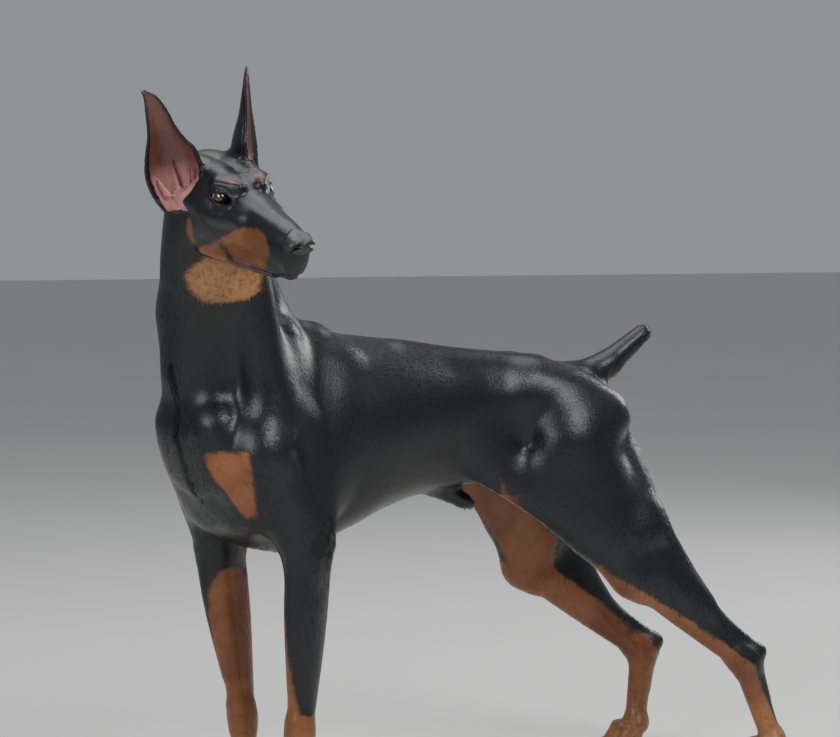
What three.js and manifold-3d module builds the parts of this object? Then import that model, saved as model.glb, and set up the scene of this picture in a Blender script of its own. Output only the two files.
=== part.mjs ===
// A Doberman pinscher stands four-square with its hind legs stretched back and looks over its left
// shoulder. Life size, in millimetres: +X is forward, +Y the dog's left, +Z up, the floor is z = 0.
// The body is one smooth form made of muscles and bones, drawn as closed nets of cells or rings,
// and parted by thin cuts where a person would name head, neck, torso, legs and tail.
import * as THREE from "three";
import { mergeVertices } from "three/addons/utils/BufferGeometryUtils.js";
import Module from "manifold-3d";

const wasm = await Module();
wasm.setup();

// Driving dimensions.
const gap = 0.3;
const bendAngle = THREE.MathUtils.degToRad(18);
const bendStart = -80;
const bendEnd = 200;
const originShift = [-27.4, 148.7];

// Joints, in the frame of a dog that stands straight.
const joint = {
  shoulder: [350, 92, 528],
  hip: [-222, 84, 520],
  ischium: [-302, 48, 516],
};
const leftFore = { elbow: [282, 94, 374], wrist: [288, 86, 118], knuckle: [296, 85, 42] };
const rightFore = { elbow: [297, 94, 374], wrist: [264, 82, 118], knuckle: [264, 76, 42] };
const leftHind = { knee: [-316, 106, 312], hock: [-508, 108, 166], knuckle: [-556, 109, 42] };
const rightHind = { knee: [-230, 106, 304], hock: [-438, 104, 156], knuckle: [-424, 102, 42] };

// The head's own frame has its origin midway between the eyes, x along the muzzle and z up.
const headAt = [449, 170, 894];
const headTurn = 83;
const headNod = 18;
const headTilt = 8;
const eyeRadius = 12.5;
// The path of a nostril in the head frame, from the front opening to the wing.
const nostrilLine = [[162, 7, -18], [161, 13, -21], [157, 17, -26], [150, 21, -27]];
const eyeAt = [-6, 33.5, 0];
const eyeAim = [0.88, 0.47, 0.04];
const ankle = 58;

const V = (x, y, z) => new THREE.Vector3(x, y, z);
const vec = (a) => V(a[0], a[1], a[2]);
const mix = (a, b, t) => a + (b - a) * t;
const clamp = (t, low, high) => Math.min(high, Math.max(low, t));

const headMatrix = new THREE.Matrix4()
  .makeRotationZ(THREE.MathUtils.degToRad(headTurn))
  .multiply(new THREE.Matrix4().makeRotationY(THREE.MathUtils.degToRad(headNod)))
  .multiply(new THREE.Matrix4().makeRotationX(THREE.MathUtils.degToRad(headTilt)))
  .setPosition(vec(headAt));
const onHead = (x, y, z) => V(x, y, z).applyMatrix4(headMatrix);
const alongHead = (x, y, z) => V(x, y, z).transformDirection(headMatrix);

// The straight dog is bent to its left along an arc between bendStart and bendEnd.
const bendRadius = (bendEnd - bendStart) / bendAngle;
function bend(p) {
  const u = clamp(p.x, bendStart, bendEnd);
  const turn = (u - bendStart) / bendRadius;
  const out = bendRadius - p.y;
  const past = p.x - u;
  return V(
    bendStart + out * Math.sin(turn) + past * (p.x > bendEnd ? Math.cos(turn) : 1),
    bendRadius - out * Math.cos(turn) + (p.x > bendEnd ? past * Math.sin(turn) : 0),
    p.z,
  );
}

// A cubic curve through rows whose first number is the place along the axis.
function throughRows(rows) {
  const size = rows[0].length;
  const slope = rows.map((row, i) => {
    const before = rows[Math.max(0, i - 1)];
    const after = rows[Math.min(rows.length - 1, i + 1)];
    return row.map((_, k) => (after[k] - before[k]) / (after[0] - before[0]));
  });
  return (x) => {
    let i = 0;
    while (i < rows.length - 2 && x > rows[i + 1][0]) i += 1;
    const step = rows[i + 1][0] - rows[i][0];
    const t = clamp((x - rows[i][0]) / step, 0, 1);
    const out = [];
    for (let k = 1; k < size; k += 1) {
      out.push(
        (2 * t ** 3 - 3 * t ** 2 + 1) * rows[i][k] +
          (t ** 3 - 2 * t ** 2 + t) * step * slope[i][k] +
          (3 * t ** 2 - 2 * t ** 3) * rows[i + 1][k] +
          (t ** 3 - t ** 2) * step * slope[i + 1][k],
      );
    }
    return out;
  };
}

// A muscle or bone: a tapered rod from a to b that swells by belly and is flattened along side.
function muscle(a, b, radiusA, radiusB, { belly = 0, flat = 1, side = V(0, 1, 0), soft = 14 } = {}) {
  const axis = b.clone().sub(a);
  const length2 = axis.lengthSq();
  const across = side.clone().addScaledVector(axis, -side.dot(axis) / length2).normalize();
  const distance = (x, y, z) => {
    const px = x - a.x;
    const py = y - a.y;
    const pz = z - a.z;
    const h = clamp((px * axis.x + py * axis.y + pz * axis.z) / length2, 0, 1);
    const qx = px - h * axis.x;
    const qy = py - h * axis.y;
    const qz = pz - h * axis.z;
    const r = mix(radiusA, radiusB, h) + belly * 4 * h * (1 - h);
    const w = r * flat;
    const s2 = (qx * across.x + qy * across.y + qz * across.z) ** 2;
    const t2 = Math.max(0, qx * qx + qy * qy + qz * qz - s2);
    const k0 = Math.sqrt(s2 / w ** 2 + t2 / r ** 2);
    const k1 = Math.sqrt(s2 / w ** 4 + t2 / r ** 4);
    return k1 > 1e-9 ? (k0 * (k0 - 1)) / k1 : -Math.min(w, r);
  };
  return { distance, soft };
}

// A trunk form along its frame's x: rows give bottom, widest height, top and half width.
function trunkForm(rows, { frame = new THREE.Matrix4(), cap = 30, power = 2, soft = 14 } = {}) {
  const at = throughRows(rows);
  const inverse = frame.clone().invert().elements;
  const first = rows[0][0];
  const last = rows[rows.length - 1][0];
  const distance = (wx, wy, wz) => {
    const x = inverse[0] * wx + inverse[4] * wy + inverse[8] * wz + inverse[12];
    const y = inverse[1] * wx + inverse[5] * wy + inverse[9] * wz + inverse[13];
    const z = inverse[2] * wx + inverse[6] * wy + inverse[10] * wz + inverse[14];
    const u = clamp(x, first, last);
    const [bottom, widest, top, half, shift = 0] = at(u);
    const dz = z - widest;
    const h = dz > 0 ? top - widest : widest - bottom;
    const a = Math.abs(y - shift) / half;
    const b = Math.abs(dz) / h;
    const c = Math.abs(x - u) / cap;
    const rho = (a ** power + b ** power + c ** power) ** (1 / power);
    if (rho < 1e-6) return -Math.min(half, h);
    const g = Math.hypot(a ** (power - 1) / half, b ** (power - 1) / h, c ** (power - 1) / cap);
    return (rho - 1) / (g * rho ** (1 - power));
  };
  return { distance, soft };
}

function softMin(a, b, k) {
  const h = Math.max(k - Math.abs(a - b), 0) / k;
  return Math.min(a, b) - (h * h * k) / 4;
}

// The lowest value of a group of forms, with each form melted into the ones before it.
function melt(forms) {
  return (p) => {
    let d = 1e6;
    for (const form of forms) d = softMin(d, form.distance(p.x, p.y, p.z), form.soft);
    return d;
  };
}

// A point at share t of the bone from a to b, moved to the front and outwards.
function beside(a, b, t, front = 0, out = 0) {
  const along = b.clone().sub(a);
  const forward = V(-along.z, 0, along.x).normalize();
  return a.clone().lerp(b, t).addScaledVector(forward, front).add(V(0, out, 0));
}

const mirrored = (p, side) => V(p[0], p[1] * side, p[2]);

function torsoForms() {
  const rows = [
    [-288, 500, 560, 616, 56],
    [-272, 472, 560, 626, 70],
    [-245, 456, 565, 637, 80],
    [-200, 455, 575, 645, 84],
    [-140, 458, 585, 650, 80],
    [-80, 453, 585, 656, 82],
    [-30, 446, 580, 663, 92],
    [30, 437, 572, 675, 106],
    [90, 420, 565, 684, 115],
    [150, 397, 558, 691, 117],
    [210, 380, 552, 702, 110],
    [270, 374, 548, 694, 96],
    [330, 388, 545, 668, 92],
    [375, 420, 545, 640, 82],
    [402, 462, 545, 618, 66],
  ];
  const forms = [trunkForm(rows, { cap: 30, power: 2.1 })];
  for (const side of [1, -1]) {
    const at = (x, y, z) => V(x, y * side, z);
    forms.push(muscle(at(60, 34, 648), at(-170, 32, 622), 26, 28, { soft: 24 }));
    forms.push(muscle(at(402, 40, 566), at(345, 62, 446), 40, 34, { belly: 6, soft: 22 }));
    forms.push(muscle(at(345, 30, 440), at(262, 34, 402), 36, 28, { soft: 24 }));
    forms.push(muscle(at(-168, 52, 600), at(-268, 70, 555), 44, 50, { belly: 6, flat: 0.75, soft: 26 }));
  }
  forms.push(muscle(V(408, 0, 555), V(366, 0, 470), 22, 26, { soft: 26 }));
  return forms;
}

const sheathForms = () => [
  muscle(V(-20, 0, 452), V(-72, 0, 428), 16, 13, { soft: 16 }),
  muscle(V(-72, 0, 428), V(-84, 0, 422), 11, 8, { soft: 5 }),
];

function upperForeForms(side, fore) {
  const shoulder = mirrored(joint.shoulder, side);
  const elbow = mirrored(fore.elbow, side);
  const at = (x, y, z) => V(x, y * side, z);
  return [
    muscle(at(230, 40, 676), at(346, 84, 545), 36, 46, { belly: 8, flat: 0.6, soft: 26 }),
    muscle(at(196, 58, 632), at(262, 86, 428), 44, 34, { belly: 12, flat: 0.62, soft: 24 }),
    muscle(shoulder, elbow, 44, 36, { belly: 2, flat: 0.84, soft: 22 }),
    muscle(at(300, 84, 560), at(262, 92, 410), 44, 30, { flat: 0.66, soft: 20 }),
    muscle(elbow, at(247, 94, 386), 22, 14, { flat: 0.8, soft: 14 }),
    muscle(at(300, 60, 690), shoulder, 30, 34, { belly: 8, flat: 0.8, soft: 30 }),
  ];
}

function foreForms(side, fore) {
  const elbow = mirrored(fore.elbow, side);
  const wrist = mirrored(fore.wrist, side);
  const knuckle = mirrored(fore.knuckle, side);
  return [
    ...upperForeForms(side, fore),
    muscle(elbow, wrist, 28, 20, { belly: 1, flat: 0.9, soft: 16 }),
    muscle(
      beside(elbow, wrist, 0.0, 12, 6 * side),
      beside(elbow, wrist, 0.72, 6, 3 * side),
      26,
      17,
      { belly: 6, flat: 0.78, soft: 12 },
    ),
    muscle(
      beside(elbow, wrist, 0.02, -20, 0),
      beside(elbow, wrist, 0.84, -12, 0),
      22,
      11,
      { belly: 5, flat: 0.8, soft: 12 },
    ),
    muscle(beside(elbow, wrist, 0.94, 2), beside(wrist, knuckle, 0.2, 2), 22, 21, { flat: 0.98, soft: 10 }),
    muscle(beside(wrist, knuckle, 0.1, -14), beside(wrist, knuckle, 0.2, -19), 9, 7, { soft: 8 }),
    muscle(wrist, knuckle, 19, 19, { flat: 1.08, soft: 12 }),
  ];
}

function hindForms(side, hind) {
  const hip = mirrored(joint.hip, side);
  const ischium = mirrored(joint.ischium, side);
  const knee = mirrored(hind.knee, side);
  const hock = mirrored(hind.hock, side);
  const knuckle = mirrored(hind.knuckle, side);
  const heel = hock.clone().addScaledVector(hock.clone().sub(knee).normalize(), 26).add(V(-2, 0, 30));
  return [
    muscle(hip, knee, 64, 38, { flat: 0.66, soft: 26 }),
    muscle(
      beside(hip, knee, 0.12, 34, -6 * side),
      beside(hip, knee, 0.96, 10, 0),
      46,
      30,
      { belly: 10, flat: 0.6, soft: 22 },
    ),
    muscle(V(-84, 66 * side, 486), beside(hip, knee, 0.55, 40, 2 * side), 30, 34, { flat: 0.42, soft: 24 }),
    muscle(ischium, beside(hip, knee, 0.72, -42, 2 * side), 36, 38, { belly: 4, flat: 0.7, soft: 24 }),
    muscle(
      beside(hip, knee, 0.72, -46, 0),
      beside(knee, hock, 0.5, -28, 0),
      38,
      22,
      { flat: 0.62, soft: 22 },
    ),
    muscle(
      beside(hip, knee, 0.1, -20, -34 * side),
      beside(hip, knee, 0.8, -12, -16 * side),
      46,
      32,
      { flat: 0.6, soft: 22 },
    ),
    muscle(beside(hip, knee, 0.94, 16), beside(knee, hock, 0.1, 12), 22, 20, { soft: 12 }),
    muscle(
      beside(knee, hock, -0.04, 0),
      beside(knee, hock, 0.9, 0),
      26,
      19,
      { belly: 2, flat: 0.84, soft: 16 },
    ),
    muscle(
      beside(knee, hock, 0.05, -26, 2 * side),
      beside(knee, hock, 0.72, -20),
      30,
      13,
      { belly: 8, flat: 0.72, soft: 16 },
    ),
    muscle(beside(knee, hock, 0.6, -26), heel, 13, 12, { flat: 0.62, soft: 12 }),
    muscle(hock, heel, 21, 13, { flat: 0.82, soft: 12 }),
    muscle(beside(knee, hock, 0.93), hock, 24, 24, { flat: 0.82, soft: 12 }),
    muscle(hock, knuckle, 22, 18, { flat: 0.88, soft: 14 }),
    muscle(heel.clone().lerp(hock, 0.3), beside(hock, knuckle, 0.5, -8), 12, 11, { flat: 0.8, soft: 10 }),
  ];
}

// One paw: toes arch from the knuckle to the floor, the middle pair set further forward.
const toeSpread = [-21, -7.5, 7.5, 21];
const toeReach = [40, 50, 50, 40];
function toes(knuckle) {
  return toeSpread.map((spread, i) => ({
    root: knuckle.clone().add(V(2, spread * 0.62, -4)),
    arch: knuckle.clone().add(V(toeReach[i] * 0.56, spread * 0.98, -10)),
    tip: V(knuckle.x + toeReach[i], knuckle.y + spread * 1.04, 8.6),
  }));
}

function pawForms(knuckle) {
  const forms = [
    muscle(
      knuckle.clone().add(V(-2, 0, -2)),
      knuckle.clone().add(V(16, 0, -20)),
      21,
      19,
      { flat: 1.2, soft: 12 },
    ),
    muscle(V(knuckle.x + 2, knuckle.y, 11), V(knuckle.x + 12, knuckle.y, 9), 14, 13, { flat: 1.4, soft: 8 }),
  ];
  for (const toe of toes(knuckle)) {
    forms.push(muscle(toe.root, toe.arch, 11.5, 11, { soft: 4 }));
    forms.push(muscle(toe.arch, toe.tip, 11, 9.5, { soft: 4 }));
  }
  return forms;
}

const tailRoot = V(-268, 0, 610);
const tailTip = V(-380, 0, 680);
const tailForms = () => [
  muscle(tailRoot, V(-318, 0, 632), 28, 22, { soft: 22 }),
  muscle(V(-318, 0, 632), tailTip, 21.5, 14.5, { soft: 8 }),
];

// The neck rises out of the shoulders and turns its oval from the chest's way to the head's.
const neckFoot = V(296, 0, 592);
const neckHead = V(436, 66, 905);
function neckForms() {
  const x = neckHead.clone().sub(neckFoot).normalize();
  const y = V(0, 1, 0).addScaledVector(x, -x.y).normalize();
  const z = x.clone().cross(y);
  const frame = new THREE.Matrix4().makeBasis(x, y, z).setPosition(neckFoot);
  const reach = neckHead.distanceTo(neckFoot);
  const rows = [
    [0, -104, 0, 96, 78, 0],
    [60, -104, 0, 86, 70, -16],
    [120, -97, 0, 76, 64, -28],
    [190, -91, 0, 69, 60, -34],
    [250, -82, 0, 64, 57, -26],
    [310, -70, 0, 58, 53, -10],
    [reach, -58, 0, 52, 50, 0],
  ];
  const forms = [trunkForm(rows, { frame, cap: 24, power: 2, soft: 30 })];
  for (const side of [1, -1]) {
    const strap = [onHead(-84, 36 * side, -50), V(398, 24 * side - 6, 600)];
    forms.push(muscle(strap[0], strap[1], 20, 26, { belly: 6, soft: 20 }));
    forms.push(muscle(onHead(-104, 34 * side, 0), V(340, 82 * side, 600), 20, 30, { belly: 8, soft: 26 }));
  }
  forms.push(muscle(onHead(-112, 0, 2), V(256, 0, 672), 26, 30, { belly: 6, soft: 30 }));
  forms.push(muscle(onHead(-52, 0, -72), V(420, -4, 640), 22, 24, { soft: 24 }));
  forms.push(muscle(V(378, -6, 560), V(396, -16, 720), 52, 50, { soft: 40 }));
  return forms;
}

function headForms() {
  const rows = [
    [-112, -44, 0, 19, 36],
    [-96, -66, -2, 24, 46],
    [-70, -88, -8, 29, 54],
    [-45, -96, -12, 30, 56],
    [-20, -96, -16, 28, 52],
    [2, -92, -20, 23, 45],
    [24, -89, -24, 12, 39.5],
    [50, -86, -30, 6, 35],
    [80, -84, -34, 3, 31.5],
    [110, -80, -36, 0, 29],
    [128, -75, -36, -3, 26.5],
    [140, -71, -36, -6, 23],
  ];
  const forms = [trunkForm(rows, { frame: headMatrix, cap: 12, power: 2.3, soft: 16 })];
  const rod = (a, b, ra, rb, options = {}) =>
    forms.push(muscle(onHead(...a), onHead(...b), ra, rb, { side: alongHead(0, 1, 0), ...options }));
  rod([132, 0, -68], [60, 0, -72], 11, 13, { soft: 6 });
  for (const side of [1, -1]) {
    rod([6, 38 * side, -22], [-66, 54 * side, -20], 9, 11, { soft: 12 });
    rod([-30, 40 * side, -36], [-66, 40 * side, -70], 26, 19, { belly: 4, flat: 0.6, soft: 14 });
    rod([-20, 24 * side, 15], [-86, 24 * side, 10], 14, 15, { belly: 4, soft: 14 });
    rod([14, 17 * side, 16], [-12, 37 * side, 15], 9, 8, { soft: 9 });
    rod([44, 25 * side, -18], [-2, 40 * side, -26], 12, 11, { soft: 10 });
    rod([120, 15 * side, -61], [30, 29 * side, -72], 13, 15, { belly: 1, flat: 0.66, soft: 7 });
    rod([100, 8 * side, -74], [-46, 32 * side, -88], 10, 14, { soft: 10 });
  }
  return forms;
}

const nosePad = () => melt([
  muscle(onHead(148, 9, -20), onHead(154, 9, -21), 13, 12, { soft: 6 }),
  muscle(onHead(148, -9, -20), onHead(154, -9, -21), 13, 12, { soft: 6 }),
  muscle(onHead(140, 0, -16), onHead(154, 0, -24), 13, 12, { soft: 6 }),
]);

// Each ear is a cupped leaf on an axis from its base to its tip. Rows run along the axis: place,
// sideways shift, half width, depth of the cup and thickness.
const earBase = { left: [-70, 50, -6], right: [-70, 58, -12] };
const earTip = { left: [-85, 46, 148], right: [-85, 118, 140] };
const earFacing = { left: [0.62, 0.77, -0.12], right: [0.845, 0.515, -0.143] };
const earRows = [
  [-20, 10, 22, 10, 7],
  [0, 6, 32, 22, 6.5],
  [20, 2, 38, 26, 6],
  [40, 0, 38, 25, 5.5],
  [60, -3, 34, 21, 5],
  [75, -3, 27, 17, 4.6],
  [94, -5, 19.5, 12, 4.2],
  [123, -7.5, 13.5, 7, 3.8],
  [148, -7, 7, 3, 3.4],
  [160, -2, 2.5, 1, 3],
];

const earForms = () =>
  [1, -1].map((side) =>
    muscle(onHead(-82, 44 * side, -14), onHead(-80, 34 * side, 16), 20, 18, { soft: 18 }),
  );

const dog = {
  torso: torsoForms(),
  neck: neckForms(),
  head: [...headForms(), ...earForms()],
  tail: tailForms(),
  fore: { left: foreForms(1, leftFore), right: foreForms(-1, rightFore) },
  hind: { left: hindForms(1, leftHind), right: hindForms(-1, rightHind) },
};
const uppers = [...dog.torso, ...upperForeForms(1, leftFore), ...upperForeForms(-1, rightFore)];

const everything = melt([
  ...dog.torso,
  ...dog.fore.left,
  ...dog.fore.right,
  ...dog.hind.left,
  ...dog.hind.right,
  ...dog.tail,
  ...dog.neck,
]);
const headAndNeck = melt([...uppers, ...dog.neck, ...dog.head]);

// Cuts: each is a plane with its normal towards the part that is cut off.
const cut = {
  neck: { point: V(318, 0, 650), normal: V(0.5, 0, 0.87) },
  head: { point: onHead(-92, 0, -46), normal: alongHead(0.6, -0.3, 0.74) },
  tail: { point: V(-292, 0, 620), normal: V(-0.85, 0, 0.53) },
};
const limbCut = (point, normal, side, edge) => ({
  point: mirrored(point, side),
  normal: mirrored(normal, side).normalize(),
  edge,
});
const foreCut = (side) => limbCut([300, 45, 370], [0, 0.803, -0.596], side, 176);
const hindCut = (side) => limbCut([-200, 25, 424], [0, 0.707, -0.707], side, -62);
for (const c of [cut.neck, cut.head, cut.tail]) c.normal.normalize();

const beyond = (c, p) => p.clone().sub(c.point).dot(c.normal);

const tube = (line, radius, around, count) => ringSolid({
  line,
  stations: spreadEvenly(count),
  around,
  inside: melt(line.slice(1).map((p, i) => muscle(line[i], p, radius, radius, { soft: 0.01 }))),
  domes: [1, 1],
});

// A closed solid: rings of points where rays from a centre line leave the form.
function ringSolid({ line, stations, around, inside, side = V(0, 1, 0), domes = [0, 0] }) {
  const curve = new THREE.CatmullRomCurve3(line, false, "centripetal");
  const rings = [];
  const addRing = (t, lean) => {
    const centre = curve.getPointAt(t);
    const tangent = curve.getTangentAt(t);
    const a = side.clone().addScaledVector(tangent, -side.dot(tangent)).normalize();
    const b = tangent.clone().cross(a);
    const points = [];
    for (let i = 0; i < around; i += 1) {
      const angle = (2 * Math.PI * i) / around;
      const ray = a.clone().multiplyScalar(Math.cos(angle)).addScaledVector(b, Math.sin(angle));
      ray.multiplyScalar(Math.cos(lean)).addScaledVector(tangent, Math.sin(lean));
      points.push(leave(inside, centre, ray));
    }
    rings.push(points);
  };
  const [startDome, endDome] = domes;
  for (let i = startDome; i > 0; i -= 1) addRing(stations[0], (-Math.PI / 2) * (i / (startDome + 1)));
  for (const t of stations) addRing(t, 0);
  const lastStation = stations[stations.length - 1];
  for (let i = 1; i <= endDome; i += 1) addRing(lastStation, (Math.PI / 2) * (i / (endDome + 1)));
  const pole = (t, way, domed, ring) => {
    if (!domed) return ring.reduce((sum, p) => sum.add(p), V(0, 0, 0)).divideScalar(ring.length);
    return leave(inside, curve.getPointAt(t), curve.getTangentAt(t).multiplyScalar(way));
  };
  const start = pole(stations[0], -1, startDome, rings[0]);
  const end = pole(stations[stations.length - 1], 1, endDome, rings[rings.length - 1]);
  return closedRings(rings, start, end);
}

// A closed solid from a net of cells: one point for each cell that the surface crosses.
const corners = [0, 1, 2, 3, 4, 5, 6, 7].map((i) => [i & 1, (i >> 1) & 1, (i >> 2) & 1]);
const cellEdges = [0, 1, 3, 2, 4, 5, 7, 6, 0, 4, 1, 5, 2, 6, 3, 7, 0, 2, 1, 3, 4, 6, 5, 7];
function netSolid({ inside, low, high, cell, frame = new THREE.Matrix4() }) {
  const count = [0, 1, 2].map((k) => Math.ceil((high[k] - low[k]) / cell[k]) + 1);
  const along = (axis, i) => low[axis] + i * cell[axis];
  const place = (i, j, k) => V(along(0, i), along(1, j), along(2, k)).applyMatrix4(frame);
  const id = (i, j, k) => i + count[0] * (j + count[1] * k);
  const depth = new Float32Array(count[0] * count[1] * count[2]);
  const everyNode = (visit, less = 0) => {
    for (let k = 0; k < count[2] - less; k += 1) {
      for (let j = 0; j < count[1] - less; j += 1) {
        for (let i = 0; i < count[0] - less; i += 1) visit(i, j, k);
      }
    }
  };
  everyNode((i, j, k) => {
    const edge = [i, j, k].some((v, q) => v === 0 || v === count[q] - 1);
    depth[id(i, j, k)] = edge ? 1 : inside(place(i, j, k));
  });
  const points = [];
  const pointOf = new Map();
  everyNode((i, j, k) => {
    const d = corners.map(([a, b, c]) => depth[id(i + a, j + b, k + c)]);
    if (d.every((v) => v < 0) || d.every((v) => v >= 0)) return;
    const sum = V(0, 0, 0);
    let crossings = 0;
    for (let e = 0; e < 24; e += 2) {
      const [m, n] = [cellEdges[e], cellEdges[e + 1]];
      if (d[m] < 0 === d[n] < 0) continue;
      const t = d[m] / (d[m] - d[n]);
      const at = corners[m].map((v, q) => mix(v, corners[n][q], t));
      sum.add(V(...at));
      crossings += 1;
    }
    sum.divideScalar(crossings);
    const p = place(i + sum.x, j + sum.y, k + sum.z);
    pointOf.set(id(i, j, k), points.length);
    points.push(settle(inside, p, Math.min(...cell) * 0.45));
  }, 1);
  const faces = [];
  const quad = (a, b, c, d, flip) => {
    const [p, q, r, s] = [a, b, c, d].map((key) => pointOf.get(key));
    const shorter = points[p].distanceTo(points[r]) < points[q].distanceTo(points[s]);
    const two = shorter ? [p, q, r, p, r, s] : [p, q, s, q, r, s];
    faces.push(...(flip ? two.reverse() : two));
  };
  everyNode((i, j, k) => {
    const here = depth[id(i, j, k)] < 0;
    const within = (a, b, c) => a < count[0] && b < count[1] && c < count[2];
    const differs = (a, b, c) => within(a, b, c) && depth[id(a, b, c)] < 0 !== here;
    if (differs(i + 1, j, k)) quad(id(i, j - 1, k - 1), id(i, j, k - 1), id(i, j, k), id(i, j - 1, k), !here);
    if (differs(i, j + 1, k)) quad(id(i - 1, j, k - 1), id(i, j, k - 1), id(i, j, k), id(i - 1, j, k), here);
    if (differs(i, j, k + 1)) quad(id(i - 1, j - 1, k), id(i, j - 1, k), id(i, j, k), id(i - 1, j, k), !here);
  });
  const geometry = new THREE.BufferGeometry().setFromPoints(points);
  geometry.setIndex(faces);
  return solid(geometry);
}

// A point moved onto the surface, but no further than reach.
function settle(inside, start, reach) {
  const p = start.clone();
  const e = 0.5;
  for (let i = 0; i < 3; i += 1) {
    const d = inside(p);
    const slope = V(
      inside(V(p.x + e, p.y, p.z)) - inside(V(p.x - e, p.y, p.z)),
      inside(V(p.x, p.y + e, p.z)) - inside(V(p.x, p.y - e, p.z)),
      inside(V(p.x, p.y, p.z + e)) - inside(V(p.x, p.y, p.z - e)),
    ).divideScalar(2 * e);
    p.addScaledVector(slope, -d / Math.max(0.2, slope.lengthSq()));
  }
  const moved = p.sub(start);
  if (moved.length() > reach) moved.setLength(reach);
  return start.clone().add(moved);
}

// The first point along a ray where the form ends.
function leave(inside, centre, ray) {
  let t = 0.5;
  let step = 0;
  const p = V(0, 0, 0);
  for (let i = 0; i < 90; i += 1) {
    p.copy(centre).addScaledVector(ray, t);
    step = -inside(p);
    if (Math.abs(step) < 0.03) break;
    t += step * (step > 0 ? 0.8 : 0.5);
    if (t < 0.5) {
      t = 0.5;
      break;
    }
  }
  return centre.clone().addScaledVector(ray, t);
}

function closedRings(rings, start, end) {
  const around = rings[0].length;
  const points = [...rings.flat(), start, end];
  const faces = [];
  const at = (r, i) => r * around + (i % around);
  for (let i = 0; i < around; i += 1) {
    faces.push(at(0, i + 1), at(0, i), points.length - 2);
    faces.push(at(rings.length - 1, i), at(rings.length - 1, i + 1), points.length - 1);
    for (let r = 0; r + 1 < rings.length; r += 1) {
      const [a, b, c, d] = [at(r, i), at(r, i + 1), at(r + 1, i + 1), at(r + 1, i)];
      const shorter = points[a].distanceTo(points[c]) < points[b].distanceTo(points[d]);
      faces.push(...(shorter ? [a, b, c, a, c, d] : [a, b, d, b, c, d]));
    }
  }
  let volume = 0;
  for (let i = 0; i < faces.length; i += 3) {
    const [a, b, c] = [points[faces[i]], points[faces[i + 1]], points[faces[i + 2]]];
    volume += a.clone().sub(points[0]).dot(b.clone().sub(points[0]).cross(c.clone().sub(points[0])));
  }
  if (volume < 0) faces.reverse();
  const geometry = new THREE.BufferGeometry().setFromPoints(points);
  geometry.setIndex(faces);
  return geometry;
}

// Joining and cutting closed meshes.
function solid(geometry) {
  const bare = geometry.clone();
  bare.deleteAttribute("normal");
  bare.deleteAttribute("uv");
  const merged = mergeVertices(bare, 1e-4);
  const mesh = new wasm.Mesh({
    numProp: 3,
    vertProperties: merged.attributes.position.array,
    triVerts: new Uint32Array(merged.index.array),
  });
  return new wasm.Manifold(mesh);
}

const spreadEvenly = (count, from = 0, to = 1) =>
  Array.from({ length: count }, (_, i) => mix(from, to, i / (count - 1)));

// Everything on the far side of a plane, as a large block whose face lies a half gap past it.
const blockSize = 1600;
function halfSpace(point, normal, shift = 0) {
  const block = new THREE.BoxGeometry(blockSize, blockSize, blockSize);
  const turn = new THREE.Quaternion().setFromUnitVectors(V(0, 0, 1), normal);
  block.applyQuaternion(turn);
  const centre = point.clone().addScaledVector(normal, blockSize / 2 + shift);
  block.translate(centre.x, centre.y, centre.z);
  return solid(block);
}

const away = (c, shift = 0) => halfSpace(c.point, c.normal, -gap / 2 + shift);
const near = (c) => halfSpace(c.point, c.normal.clone().negate(), -gap / 2);
const limbSpace = (c, way) => {
  const edge = halfSpace(V(c.edge, 0, 400), V(way, 0, 0), -gap / 2);
  return halfSpace(c.point, c.normal, -gap / 2).intersect(edge);
};
const belowFloor = () => halfSpace(V(0, 0, 0), V(0, 0, -1));

function largest(made) {
  return made.decompose().sort((a, b) => b.volume() - a.volume())[0];
}

// Points that a cut leaves almost in one place become one, and the faces between them go.
const closest = 0.35;
const thinnest = 0.06;
function withoutSlivers(geometry) {
  const merged = mergeVertices(geometry, closest);
  const kept = new Map();
  for (let i = 0; i < merged.index.count; i += 3) {
    const face = [0, 1, 2].map((k) => merged.index.getX(i + k));
    if (new Set(face).size < 3) continue;
    const key = [...face].sort((a, b) => a - b).join(" ");
    if (!kept.delete(key)) kept.set(key, face);
  }
  const faces = [...kept.values()];
  const at = (i) => V(0, 0, 0).fromBufferAttribute(merged.attributes.position, i);
  const faceOf = new Map();
  const note = (face) => face.forEach((a, k) => faceOf.set(`${a} ${face[(k + 1) % 3]}`, face));
  faces.forEach(note);
  for (const face of [...faces, ...faces, ...faces]) {
    const sides = face.map((a, k) => at(a).distanceTo(at(face[(k + 1) % 3])));
    const k = sides.indexOf(Math.max(...sides));
    const [a, b, c] = [face[k], face[(k + 1) % 3], face[(k + 2) % 3]];
    const height = at(b).sub(at(a)).cross(at(c).sub(at(a))).length() / sides[k];
    if (height > thinnest) continue;
    // A flat sliver gives its longest side's other face the point in the middle of that side.
    const other = faceOf.get(`${b} ${a}`);
    const d = other.find((v) => v !== a && v !== b);
    if (faceOf.has(`${c} ${d}`) || faceOf.has(`${d} ${c}`)) continue;
    faceOf.delete(`${a} ${b}`);
    faceOf.delete(`${b} ${a}`);
    face.splice(0, 3, a, d, c);
    other.splice(0, 3, d, b, c);
    note(face);
    note(other);
  }
  merged.setIndex(faces.flat());
  return merged;
}

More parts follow.
